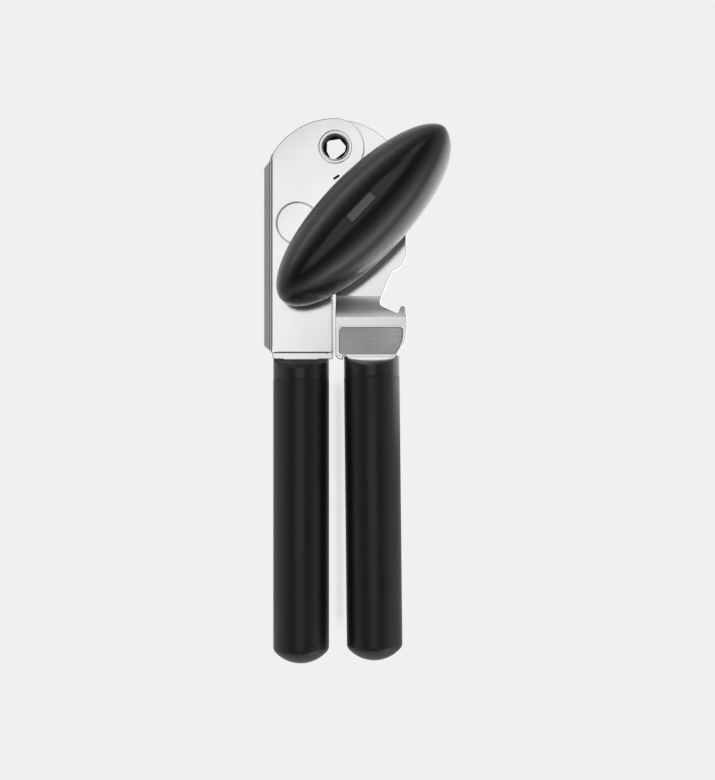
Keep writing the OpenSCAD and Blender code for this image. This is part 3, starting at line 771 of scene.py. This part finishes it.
class OPENER_OT_drive_plate(Operator):
    """Rear plate: head arc, crown-cap notch and hook, joggle, dull panel and tang"""
    bl_idname = "opener.drive_plate"
    bl_label = "Drive plate"

    def execute(self, context):
        edge = context.scene.opener_plates.edge
        near, side = -LEFT_X - 2, -5.5
        foot_corner = RIGHT_HAND[0] - HANDLE_R - 0.12
        meet = (HEAD_R ** 2 - near ** 2 - HEAD_DROP ** 2) / (2 * HEAD_DROP)
        c, s = math.cos(math.radians(SPLAY)), math.sin(math.radians(SPLAY))
        tang = [(NECK_W / 2, 0), (NECK_W / 2 - 2.2, -SLOPE_RUN), (TANG_W / 2, -SLOPE_RUN), (TANG_W / 2, -TANG_L),
                (-TANG_W / 2, -TANG_L), (-TANG_W / 2, -SLOPE_RUN), (2.2 - NECK_W / 2, -SLOPE_RUN), (-NECK_W / 2, 0)]
        outline = (
            arc(0, -HEAD_DROP, HEAD_R, 180 - math.degrees(math.asin((meet + HEAD_DROP) / HEAD_R)),
                math.degrees(math.acos(RIGHT_X / HEAD_R)), 60)
            + lifter_edge()
            + [(RIGHT_HAND[0] + x * c - y * s, RIGHT_HAND[1] + x * s + y * c) for x, y in tang]
            + [(foot_corner, RIGHT_HAND[1] + 0.06)]
            + arc(FOOT_LEFT + 1.9, PANEL_FOOT + 0.5, 1.9, -math.degrees(math.acos((foot_corner - 1.9) / 1.9)), -180, 10)
            + [(FOOT_LEFT, JOGGLE_TOP + 0.6), (side, JOGGLE_TOP + 0.6)]
            + arc(0, 0, near, 360 - math.degrees(math.acos(-side / near)), 180 + math.degrees(math.asin(-meet / near)), 24))

        def step(p):
            return 0.3 if -78 < p.y < -47 else 1.2

        outer = anticlockwise(dense(soften(outline, 0.4, least=25), step))
        # Arc slot that the other plate's lug runs in
        reach, at = 1.45, 11.2
        first, last = -79, -104
        slot = (arc(0, 0, at + reach, first, last, 14)
                + arc(at * math.cos(math.radians(last)), at * math.sin(math.radians(last)), reach, last - 20, last - 160, 7)
                + arc(0, 0, at - reach, last, first, 14)
                + arc(at * math.cos(math.radians(first)), at * math.sin(math.radians(first)), reach, first + 160,
                      first + 20, 7))
        holes = [circle(0, 0, RIVET_R + 0.3), circle(*DRIVE_POS, 4.35), slot]
        holes = [anticlockwise(h)[::-1] for h in holes]
        panel = [(1.1, -60.1), (1.1, -67.3), (1.9, -68.0), (19.6, -68.0), (21.1, -65.7), (22.1, -63.1), (22.4, -59.6),
                 (21.6, -58.9), (2.2, -58.9)]
        marks = [(inset(loop, edge + 0.12), 0.0) for loop in (outer, *holes)]
        for grow, drop in ((0.0, 0.0), (0.12, 0.03), (0.26, 0.1), (0.36, 0.12)):
            loop = anticlockwise(dense(soften(panel, 0.4), lambda p: 0.6))
            marks.append((inset(loop, grow), drop))
        # The joggle's slope takes the brighter steel: painted highlight.
        pressed = [(-1, JOGGLE_TOP), (-1, JOGGLE_LOW), (RIGHT_X + 1, JOGGLE_LOW), (RIGHT_X + 1, JOGGLE_TOP)]
        pressed = anticlockwise(dense(pressed, lambda p: 3.0))
        us = [-20 + 1.4 * i for i in range(32)]
        vs = [8 - 2.6 * i for i in range(22)]
        vs += [JOGGLE_TOP + 0.3 - 0.3 * i for i in range(27)] + [-57.5, -58.4, -60, -62, -64, -66, -67.4]
        vs += [PANEL_FOOT + 0.1 - 0.45 * i for i in range(22)] + [-78.6, -88, -98]
        build = Build()
        build.blank(outer, holes, lambda u, v, n: (u, v, back_z(v) + n), HALF_T, edge, marks,
                    [(u, v) for u in us for v in vs], tag_marks=((marks[-3][0], 1), (pressed, 2)))
        build.piece("drive_plate_sheet", "drive_arm", ["drive_plate"],
                    [plate_finish(), dull_finish(), joggle_highlight_finish()])
        return {"FINISHED"}


class OPENER_OT_pivot(Operator):
    """Hollow pivot rivet with a rolled rim and a star-crimped far end, its shim and its washer"""
    bl_idname = "opener.pivot"
    bl_label = "Pivot"

    def execute(self, context):
        low = BACK_LOW - 0.5
        build = Build()
        rim = FRONT_TOP + 0.7
        profile = [(RIVET_R, low), (RIVET_R, FRONT_TOP), (RIVET_HEAD_R, FRONT_TOP + 0.02)]
        profile += [(RIVET_HEAD_R - 0.16 + 0.16 * math.cos(a), rim - 0.18 + 0.16 * math.sin(a))
                    for a in [math.radians(18 * k) for k in range(6)]]
        profile += [(RIVET_HEAD_R - 0.55, rim), (BORE_R + 0.45, rim - 0.02)]
        profile += [(BORE_R + 0.28 - 0.28 * math.sin(a), rim - 0.32 + 0.28 * math.cos(a))
                    for a in [math.radians(18 * k) for k in range(1, 6)]]
        profile += [(BORE_R, 1.0), (BORE_R, -1.5), (BORE_R - 0.1, -1.75), (BORE_R - 0.1, low - 0.8)]
        profile += [(RIVET_HEAD_R - 0.2, low - 0.8), (RIVET_HEAD_R + 0.15, low - 0.62), (RIVET_HEAD_R + 0.3, low - 0.3),
                    (RIVET_HEAD_R + 0.2, low - 0.02)]
        build.lathe(profile, upright((0, 0)), 128)
        # Star-crimped floor
        star = [(-3.0, 2.5), (-2.3, 3.1), (1.2, 3.6), (3.2, 1.2), (2.8, -0.5), (-0.7, -3.3), (-1.8, -3), (-3.1, -0.4)]
        star = anticlockwise(dense(soften(star, 0.5), lambda p: 0.4))[::-1]

        def dished(u, v, n):
            return u, v, low - 0.8 + 0.22 + n + 0.16 * max(0, math.hypot(u, v) - 2.6)

        build.blank(anticlockwise(circle(0, 0, BORE_R + 0.2, 96)), [star], dished, 0.2, 0.12,
                    grid=[(x * 0.5, y * 0.5) for x in range(-8, 9) for y in range(-8, 9)], bend_steps=3)
        # Faces inside the bore and on the crimped floor take the near-black steel: painted shade.
        middles = [[sum(build.points[i][k] for i in f) / len(f) for k in range(3)] for f in build.faces]
        build.tags = [int(math.hypot(x, y) < BORE_R + 0.02 and z < rim - 0.3) for x, y, z in middles]
        build.piece("pivot_eyelet", "cutter_arm", ["pivot_rivet"],
                    [rivet_finish("Rolled rivet", (0, 0), 0.14), painted_shade_finish()])
        for node, r, low_z, high_z in (("pivot_shim", 8.6, BACK_TOP + 0.03, FRONT_LOW - 0.03),
                                       ("pivot_washer", 8.0, low + 0.03, BACK_LOW - 0.03)):
            ring = Build()
            ring.lathe(soften([(RIVET_R + 0.05, low_z), (r, low_z), (r, high_z), (RIVET_R + 0.05, high_z)], 0.08),
                       upright((0, 0)))
            ring.piece(node + "_ring", "cutter_arm", [node], [washer_finish("Pivot washer", (0, 0))])
        return {"FINISHED"}


class OPENER_OT_cutting_wheel(Operator):
    """Cutting wheel with its stud, washers and rim spacer"""
    bl_idname = "opener.cutting_wheel"
    bl_label = "Cutting wheel"

    def execute(self, context):
        at = upright(CUTTER_POS)
        low, top = -6.9, -4.6
        stud = Build()
        profile = [(0, STUD_TOP), (STUD_HEAD_R, STUD_TOP), (STUD_HEAD_R, STUD_TOP - 0.72), (STUD_R, STUD_TOP - 0.72),
                   (STUD_R, -1.3), (JOURNAL_R, -1.3), (JOURNAL_R, low - 0.5), (JOURNAL_R + 0.2, -8.48),
                   (JOURNAL_R + 0.9, -7.62), (JOURNAL_R + 0.9, -7.6), (0, -8.5)]
        profile = ([(0, STUD_TOP), (STUD_HEAD_R - 0.3, STUD_TOP), (STUD_HEAD_R - 0.12, STUD_TOP - 0.04),
                    (STUD_HEAD_R, STUD_TOP - 0.16), (STUD_HEAD_R, STUD_TOP - 0.72), (STUD_R, STUD_TOP - 0.72),
                    (STUD_R, -1.3), (JOURNAL_R, -1.32), (JOURNAL_R, -7.5), (JOURNAL_R + 0.86, -7.62),
                    (JOURNAL_R + 0.8, -7.8), (JOURNAL_R + 0.2, -8.4), (JOURNAL_R - 0.4, -8.5), (1.2, -8.5), (0, -8.35)])
        stud.lathe(profile, at, 128, closed=False)
        stud.piece("cutter_stud_turned", "cutter_arm", ["cutter_stud"],
                   [steel("Stud steel", [0.8, 0.805, 0.81], 0.13, 0.03, centre=CUTTER_POS, streaks=0.01, depth=0.05)])
        wheel = Build()
        bore = JOURNAL_R + 0.05
        wheel.lathe([(bore, low + 0.12), (bore + 0.12, low), (CUTTER_R - 2.7, low), (CUTTER_R - 2.5, low + 0.06),
                     (CUTTER_R - 0.06, top - 0.22), (CUTTER_R, top - 0.14), (CUTTER_R - 0.04, top), (7.9, top),
                     (7.6, top - 0.05), (bore + 0.12, top - 0.05), (bore, top - 0.17)], at, 160)
        wheel.piece("cutter_wheel_ground", "cutter", ["cutter_wheel"],
                    [ground_finish("Cutting wheel steel", CUTTER_POS)])
        spacer = Build()
        spacer.lathe(soften([(bore, -4.55), (7.3, -4.55), (7.3, -1.6), (bore, -1.6)], 0.25), at, 128)
        spacer.piece("rim_spacer_turned", "cutter_arm", ["rim_spacer"],
                     [ground_finish("Spacer steel", CUTTER_POS)])
        washer = Build()
        washer.lathe(soften([(bore, -7.3), (5.6, -7.3), (5.6, -7.0), (bore, -7.0)], 0.08), at)
        washer.piece("stud_washer_ring", "cutter_arm", ["stud_washer"],
                     [washer_finish("Stud washer", CUTTER_POS)])
        wave = Build()
        wave.lathe([(bore, -1.48), (5.4, -1.48), (5.4, -1.43), (bore, -1.43)], at,
                   wobble=lambda a: 0.08 * math.sin(3 * a))
        wave.piece("wave_washer_ring", "cutter_arm", ["wave_washer"],
                   [washer_finish("Stud washer", CUTTER_POS)])
        return {"FINISHED"}


class OPENER_OT_drive_wheel(Operator):
    """Toothed drive wheel, its shaft, bushing and washers"""
    bl_idname = "opener.drive_wheel"
    bl_label = "Drive wheel"

    def execute(self, context):
        teeth = context.scene.opener_wheels.teeth
        low, top = -4.35, -1.58
        cx, cy = DRIVE_POS
        outline = []
        for i in range(teeth):
            for part, drop in ((0, 0), (0.42, 0.12), (0.7, 0.9)):
                a, r = 2 * math.pi / teeth * (i + part), DRIVE_R - drop
                outline.append((cx + r * math.cos(a), cy + r * math.sin(a)))
        outer = anticlockwise(soften(outline, 0.12, least=20, steps=3))
        half = 2.13
        square = soften([(cx - half, cy - half), (cx + half, cy - half), (cx + half, cy + half), (cx - half, cy + half)], 0.1)
        rings = [(anticlockwise(circle(cx, cy, r, 80)), d) for r, d in ((8.9, 0.0), (8.6, 0.12), (5.9, 0.12), (5.7, 0.0))]
        wheel = Build()
        mid = (low + top) / 2
        # Its recessed web faces down, on the side that shows
        wheel.blank(outer, [anticlockwise(square)[::-1]], lambda u, v, n: (u, v, mid - n), (top - low) / 2, 0.12, rings)
        wheel.piece("drive_wheel_toothed", "knob_train", ["drive_wheel"],
                    [ground_finish("Drive wheel steel", DRIVE_POS)])
        dress("drive_shaft", rivet_finish("Shaft steel", DRIVE_POS, 0.2), 0.12)
        dress("end_washer", washer_finish("Drive washer", DRIVE_POS), 0.08)
        dress("drive_bushing", rivet_finish("Shaft steel", DRIVE_POS, 0.2), 0.12)
        for node, r, bore, z0, z1, body in (("wheel_washer", 5.4, 3.05, -1.5, -1.2, "knob_train"),
                                            ("bushing_ring", 6.0, 4.23, -1.15, -0.93, "drive_arm"),
                                            ("knob_washer", 6.4, 3.05, 1.75, 2.05, "knob_train")):
            ring = Build()
            ring.lathe(soften([(bore, z0), (r, z0), (r, z1), (bore, z1)], 0.07), upright(DRIVE_POS))
            ring.piece(node + "_ring", body, [node], [washer_finish("Drive washer", DRIVE_POS)])
        return {"FINISHED"}


def knob_level(z, shrink, count):
    """One level of the knob's outside along its own axes, with a wall's thickness taken off."""
    half_l, half_w = KNOB_L / 2 - shrink, KNOB_W / 2 - shrink
    crown, keel = KNOB_CROWN - shrink, KNOB_KEEL * KEEL_ROUND - shrink
    ring = []
    for j in range(count):
        c, s = math.cos(2 * math.pi * j / count), math.sin(2 * math.pi * j / count)
        if z > KNOB_MID:
            u = (z - KNOB_MID) / crown
            x = half_l * (1 - u ** SPINE_POWER) ** (1 / SPINE_POWER) * c
            edge = half_w * math.sqrt(1 - (x / half_l) ** 2)
            spine = (1 - (abs(x) / half_l) ** SPINE_POWER) ** (1 / SPINE_POWER)
            y = math.copysign(edge * max(0, 1 - (u / spine) ** 2) ** (1 / CROWN_POWER), s) if abs(s) > 1e-9 else 0.0
        else:
            u = (z - KNOB_MID) / keel
            x, y = half_l * math.sqrt(1 - u * u) * c, half_w * math.sqrt(1 - u * u) * s
        ring.append((x, y))
    return ring


def at_knob(x, y, z):
    a = math.radians(KNOB_ANGLE)
    return (DRIVE_POS[0] + x * math.cos(a) - y * math.sin(a), DRIVE_POS[1] + x * math.sin(a) + y * math.cos(a), z)


def rounded(half_x, half_y, radius):
    """Closed rectangle with rounded corners, anticlockwise."""
    loop = []
    for cx, cy, start in ((1, 1, 0), (-1, 1, 90), (-1, -1, 180), (1, -1, 270)):
        loop += arc(cx * (half_x - radius), cy * (half_y - radius), radius, start, start + 90, 8)
    return [Vector(p) for p in loop]


BADGE_HALF = (5.3, 1.36)
GROOVE = 0.22


class OPENER_OT_knob(Operator):
    """Turning knob: upper and lower shells, plain inlaid badge and hub"""
    bl_idname = "opener.knob"
    bl_label = "Knob"

    def execute(self, context):
        look = context.scene.opener_knob
        shell = black("Knob gloss", list(look.colour), look.roughness, 2600.0, 0.05, sheen=0.45)
        count = 180
        upper = Build()
        levels = [(PART_Z + 0.03, 0.28), (PART_Z + 0.1, 0.1), (PART_Z + 0.26, 0.0)]
        levels += [(PART_Z + 0.26 + (KNOB_MID - PART_Z - 0.26) * i / 4, 0.0) for i in range(1, 5)]
        rise = math.asin((CREST_Z - KNOB_MID) / KNOB_CROWN)
        levels += [(KNOB_MID + KNOB_CROWN * math.sin(rise * i / 44), 0.0) for i in range(1, 45)]
        outer = [[at_knob(x, y, z) for x, y in knob_level(z, off, count)] for z, off in levels]
        crown = KNOB_CROWN - KNOB_WALL
        top = CREST_Z - KNOB_WALL - 0.02
        inner_rise = math.asin((top - KNOB_MID) / crown)
        inner = [(PART_Z + 0.03, KNOB_WALL)] + [(KNOB_MID + crown * math.sin(inner_rise * i / 14), KNOB_WALL)
                                               for i in range(1, 15)]
        inner_rings = [[at_knob(x, y, z) for x, y in knob_level(z, off, count)] for z, off in inner]
        upper.rings(inner_rings[::-1] + outer, close_low=True, close_high=False)
        # Flat crest with the badge's pocket
        crest = [Vector(p) for p in knob_level(CREST_Z, 0, count)]
        pocket = [(rounded(BADGE_HALF[0] + GROOVE + grow, BADGE_HALF[1] + GROOVE + grow, 0.55 + grow), drop)
                  for grow, drop in ((0.03, 0.0), (0.005, 0.04), (0.0, 0.9))]
        flat, triangles, where = filled(crest, [], [p[0] for p in pocket],
                                        [(0.9 * i, 0.9 * j) for i in range(-15, 16) for j in (-1, 0, 1)], room=0.2)
        spots = np.array([[p[0], p[1]] for p in flat])
        depth = np.zeros(len(flat))
        depth[inside(spots, pocket[-1][0])] = pocket[-1][1]
        first = count
        for loop, drop in pocket:
            for i in range(len(loop)):
                depth[where[first + i]] = drop
            first += len(loop)
        base = (len(inner_rings) + len(outer) - 1) * count
        ring_of = {where[i]: base + i for i in range(count)}
        start = upper.add([at_knob(p[0], p[1], CREST_Z - d) for p, d in zip(flat, depth)], [])
        upper.faces += [tuple(ring_of.get(i, start + i) for i in f) for f in triangles]
        upper.tags += [0] * len(triangles)
        upper.piece("knob_upper_shell", "knob_train", ["knob_top"], [shell], crease=40)

        lower = Build()
        levels = [(KNOB_LOW, 0.35), (KNOB_LOW + 0.1, 0.12), (KNOB_LOW + 0.35, 0.0)]
        levels += [(KNOB_LOW + 0.35 + (PART_Z - 0.26 - KNOB_LOW - 0.35) * i / 8, 0.0) for i in range(1, 9)]
        levels += [(PART_Z - 0.1, 0.1), (PART_Z - 0.03, 0.28)]
        rings = [knob_level(z, off, count) for z, off in levels]
        inner = [(PART_Z - 0.03, KNOB_WALL), (PART_Z - 1, KNOB_WALL), (KNOB_LOW + KNOB_WALL, KNOB_WALL)]
        rings_in = [knob_level(z, off, count) for z, off in inner]
        heights = [z for z, _ in levels + inner]
        lower.rings([[at_knob(x, y, z) for x, y in ring] for z, ring in zip(heights, rings + rings_in)],
                    close_low=False, close_high=False)
        turn = math.radians(-KNOB_ANGLE)
        shank = [(x * math.cos(turn) - y * math.sin(turn), x * math.sin(turn) + y * math.cos(turn))
                 for x, y in rounded(3.83, 3.83, 0.1)]
        shank = anticlockwise(shank)[::-1]
        ends = []
        for ring, z, row in ((rings[0], KNOB_LOW, 0), (rings_in[-1], KNOB_LOW + KNOB_WALL, len(heights) - 1)):
            flat, triangles, where = filled([Vector(p) for p in ring], [shank])
            start = lower.add([at_knob(p[0], p[1], z) for p in flat], [])
            ring_of = {where[i]: row * count + i for i in range(count)}
            lower.faces += [tuple(ring_of.get(i, start + i) for i in f) for f in triangles]
            lower.tags += [0] * len(triangles)
            ends.append([start + where[count + i] for i in range(len(shank))])
        for j in range(len(shank)):
            k = (j + 1) % len(shank)
            lower.faces.append((ends[0][j], ends[0][k], ends[1][k], ends[1][j]))
            lower.tags.append(0)
        lower.piece("knob_lower_shell", "knob_train", ["knob_bottom"], [shell], crease=40)

        badge = Build()
        plan = rounded(*BADGE_HALF, 0.5)
        badge.blank(plan, [], lambda u, v, n: at_knob(u, v, CREST_Z - 0.46 + n), 0.4, 0.1,
                    grid=[(0.9 * i, 0.9 * j) for i in range(-5, 6) for j in (-1, 0, 1)])
        badge.piece("knob_badge_inlay", "knob_train", ["knob_badge"],
                    [black("Badge satin", list(look.badge), 0.34, 5200.0, 0.3)])
        dress("knob_insert", rivet_finish("Hub steel", DRIVE_POS, 0.22), 0.3)
        return {"FINISHED"}


class OPENER_OT_handles(Operator):
    """Two handles: hard cores with their collars, and soft grips"""
    bl_idname = "opener.handles"
    bl_label = "Handles"

    def execute(self, context):
        look = context.scene.opener_handles
        soft = black("Soft grip", list(look.grip), look.roughness, 5200.0, 0.35, distance=0.00003)
        hard = black("Hard collar", list(look.collar), 0.26, 3000.0, 0.1)
        fillet, bore = 2.6, CORE_R + 0.03
        start, end = COLLAR_L + 0.05, HANDLE_L - 2.65
        dome = HANDLE_L - DOME_R
        # The dome's arc, out to where the fillet takes over
        centre_r = HANDLE_R - fillet
        reach = math.sqrt((DOME_R - fillet) ** 2 - centre_r ** 2)
        tilt = math.atan2(centre_r, reach)
        profile = [(bore, start), (HANDLE_R - 0.3, start), (HANDLE_R - 0.1, start + 0.04),
                   (HANDLE_R - 0.02, start + 0.14), (HANDLE_R, start + 0.3)]
        profile += [(HANDLE_R, start + 0.3 + (dome + reach - start - 0.3) * i / 24) for i in range(1, 25)]
        profile += [(centre_r + fillet * math.cos(a), dome + reach + fillet * math.sin(a))
                    for a in [(math.pi / 2 - tilt) * i / 8 for i in range(1, 9)]]
        profile += [(DOME_R * math.sin(a), dome + DOME_R * math.cos(a))
                    for a in [tilt * (1 - i / 14) for i in range(1, 15)]]
        profile[-1] = (0, HANDLE_L)
        profile += [(0, end), (bore, end)]
        for side, hand, splay, body in (("left", LEFT_HAND, 0, "cutter_arm"), ("right", RIGHT_HAND, SPLAY, "drive_arm")):
            grip = Build()
            grip.lathe(profile, along_handle(hand, splay), 144)
            grip.piece(side + "_grip_moulded", body, [side + "_grip"], [soft], crease=50)
            dress(side + "_core", hard, 0.35, 4)
        return {"FINISHED"}


# ---------------------------------------------------------------- stage

# Brightness of the sky by how far it lies from straight up, as the sine of that angle
SKY = ((0.0, 0.5), (0.085, 0.62), (0.145, 1.1), (0.26, 1.05), (0.33, 0.1), (0.5, 0.05), (0.7, 0.2), (0.88, 0.4),
       (1.0, 0.6))
# Extra soft boxes: direction, how narrow, brightness
SOFT_BOXES = (((0.12, 0.5, 0.86), 60.0, 1.3), ((0.7, -0.71, -0.05), 15.0, 2.8), ((-0.7, 0.7, -0.12), 14.0, 2.2))


def studio_sky(world, overhead, backdrop):
    """Overhead patch, dim slopes, a brighter low surround and extra soft boxes."""
    world.use_nodes = True
    tree = world.node_tree
    tree.nodes.clear()
    where = add_node(tree, "ShaderNodeTexCoord").outputs["Generated"]
    x, y, _ = add_node(tree, "ShaderNodeSeparateXYZ", {0: where}).outputs
    across = maths(tree, "SQRT", maths(tree, "MULTIPLY_ADD", x, x, maths(tree, "MULTIPLY", y, y)))
    band = tree.nodes.new("ShaderNodeValToRGB")
    band.color_ramp.interpolation = "EASE"
    points = band.color_ramp.elements
    while len(points) < len(SKY):
        points.new(0.5)
    for point, (at, value) in zip(points, SKY):
        point.position, point.color = at, (value / 2, value / 2, value / 2, 1)
    tree.links.new(across, band.inputs[0])
    light = maths(tree, "MULTIPLY", band.outputs[0], 2 * overhead)
    for direction, power, value in SOFT_BOXES:
        toward = add_node(tree, "ShaderNodeVectorMath", {0: where, 1: Vector(direction).normalized()},
                          operation="DOT_PRODUCT").outputs["Value"]
        lobe = maths(tree, "POWER", maths(tree, "MAXIMUM", toward, 0.0), power)
        light = maths(tree, "MULTIPLY_ADD", lobe, value, light)
    studio = add_node(tree, "ShaderNodeBackground", {"Color": (1, 1, 1, 1), "Strength": light})
    plain = add_node(tree, "ShaderNodeBackground", {"Color": (1, 1, 1, 1), "Strength": backdrop})
    seen = add_node(tree, "ShaderNodeLightPath").outputs["Is Camera Ray"]
    both = add_node(tree, "ShaderNodeMixShader", {0: seen, 1: studio.outputs[0], 2: plain.outputs[0]})
    out = tree.nodes.new("ShaderNodeOutputWorld")
    tree.links.new(both.outputs[0], out.inputs[0])


class OPENER_OT_stage(Operator):
    """Plain pale floor, soft studio light and the camera straight above"""
    bl_idname = "opener.stage"
    bl_label = "Stage"

    def execute(self, context):
        look = context.scene.opener_stage
        scene = context.scene
        floor_z = -HANDLE_R - 0.02
        mesh = bpy.data.meshes.new("stage_floor")
        r = 2.5
        mesh.from_pydata([(-r, -r, floor_z * MM), (r, -r, floor_z * MM), (r, r, floor_z * MM), (-r, r, floor_z * MM)],
                         [], [(0, 1, 2, 3)])
        floor = bpy.data.objects.new("stage_floor", mesh)
        scene.collection.objects.link(floor)
        pale = bpy.data.materials.new("Pale floor")
        pale.use_nodes = True
        tree = pale.node_tree
        tree.nodes.clear()
        # For the camera the floor glows evenly, but dimmer where the object closes over it: painted contact shadow.
        shade = add_node(tree, "ShaderNodeAmbientOcclusion", {"Distance": 0.012}, samples=8).outputs["AO"]
        open_sky = maths(tree, "MULTIPLY_ADD", shade, 9.0, -0.35, clamp=True)
        spot = add_node(tree, "ShaderNodeNewGeometry").outputs["Position"]
        glow = add_node(tree, "ShaderNodeEmission", {
            "Color": (1, 1, 1, 1), "Strength": maths(tree, "MULTIPLY_ADD", open_sky, look.backdrop * 0.97, look.backdrop * 0.03)})
        cloth = add_node(tree, "ShaderNodeBsdfDiffuse", {"Color": (0.8, 0.8, 0.8, 1)})
        # White card lying to the right of the object, which only shows in reflections
        off = add_node(tree, "ShaderNodeVectorMath", {0: spot, 1: (0.055, -0.045, 0)}, operation="DISTANCE").outputs["Value"]
        card = maths(tree, "MULTIPLY_ADD", off, -35.0, 2.1, clamp=True)
        bounce = add_node(tree, "ShaderNodeEmission", {
            "Color": (1, 1, 1, 1), "Strength": maths(tree, "MULTIPLY_ADD", card, 1.4, 0.3)})
        lit = add_node(tree, "ShaderNodeAddShader", {0: cloth.outputs[0], 1: bounce.outputs[0]})
        seen = add_node(tree, "ShaderNodeLightPath").outputs["Is Camera Ray"]
        both = add_node(tree, "ShaderNodeMixShader", {0: seen, 1: lit.outputs[0], 2: glow.outputs[0]})
        # The floor has one side, so the underside of the object can be looked at
        below = add_node(tree, "ShaderNodeNewGeometry").outputs["Backfacing"]
        clear = add_node(tree, "ShaderNodeBsdfTransparent")
        sided = add_node(tree, "ShaderNodeMixShader", {0: below, 1: both.outputs[0], 2: clear.outputs[0]})
        out = tree.nodes.new("ShaderNodeOutputMaterial")
        tree.links.new(sided.outputs[0], out.inputs[0])
        mesh.materials.append(pale)

        scene.world = bpy.data.worlds.new("Studio")
        studio_sky(scene.world, look.overhead, look.backdrop)
        scene.view_settings.view_transform = "Standard"
        scene.view_settings.look = "None"

        width = 0.2554
        eye = (0.031, -0.093)
        view_centre = (0.0073, -0.0796)
        camera = bpy.data.cameras.new("Camera")
        camera.sensor_width = 36.0
        camera.sensor_fit = "AUTO"
        camera.lens = camera.sensor_width * look.distance / width
        camera.shift_x = (view_centre[0] - eye[0]) / width
        camera.shift_y = (view_centre[1] - eye[1]) / width
        camera.clip_start, camera.clip_end = 0.01, 20
        holder = bpy.data.objects.new("Camera", camera)
        holder.location = (*eye, FRONT_TOP * MM + look.distance)
        scene.collection.objects.link(holder)
        scene.camera = holder
        return {"FINISHED"}


class OPENER_PT_panel(Panel):
    """Sidebar panel that builds the opener piece by piece"""
    bl_label = "Can opener"
    bl_idname = "OPENER_PT_panel"
    bl_space_type = "VIEW_3D"
    bl_region_type = "UI"
    bl_category = "Can opener"

    def draw(self, context):
        for step, settings in STEPS:
            self.layout.operator(step.bl_idname)
            if settings:
                look = getattr(context.scene, settings)
                for name in type(look).__annotations__:
                    self.layout.prop(look, name)


STEPS = (
    (OPENER_OT_stage, "opener_stage"),
    (OPENER_OT_cutter_plate, "opener_plates"),
    (OPENER_OT_drive_plate, None),
    (OPENER_OT_pivot, None),
    (OPENER_OT_cutting_wheel, "opener_wheels"),
    (OPENER_OT_drive_wheel, None),
    (OPENER_OT_knob, "opener_knob"),
    (OPENER_OT_handles, "opener_handles"),
)
SETTINGS = {
    "opener_plates": PlateSettings,
    "opener_wheels": WheelSettings,
    "opener_knob": KnobSettings,
    "opener_handles": HandleSettings,
    "opener_stage": StageSettings,
}


def register():
    for name, settings in SETTINGS.items():
        bpy.utils.register_class(settings)
        setattr(bpy.types.Scene, name, PointerProperty(type=settings))
    for step, _ in STEPS:
        bpy.utils.register_class(step)
    bpy.utils.register_class(OPENER_PT_panel)


def unregister():
    bpy.utils.unregister_class(OPENER_PT_panel)
    for step, _ in reversed(STEPS):
        bpy.utils.unregister_class(step)
    for name, settings in SETTINGS.items():
        delattr(bpy.types.Scene, name)
        bpy.utils.unregister_class(settings)


def main():
    register()
    for step, _ in STEPS:
        family, name = step.bl_idname.split(".")
        getattr(getattr(bpy.ops, family), name)()


if __name__ == "__main__":
    main()
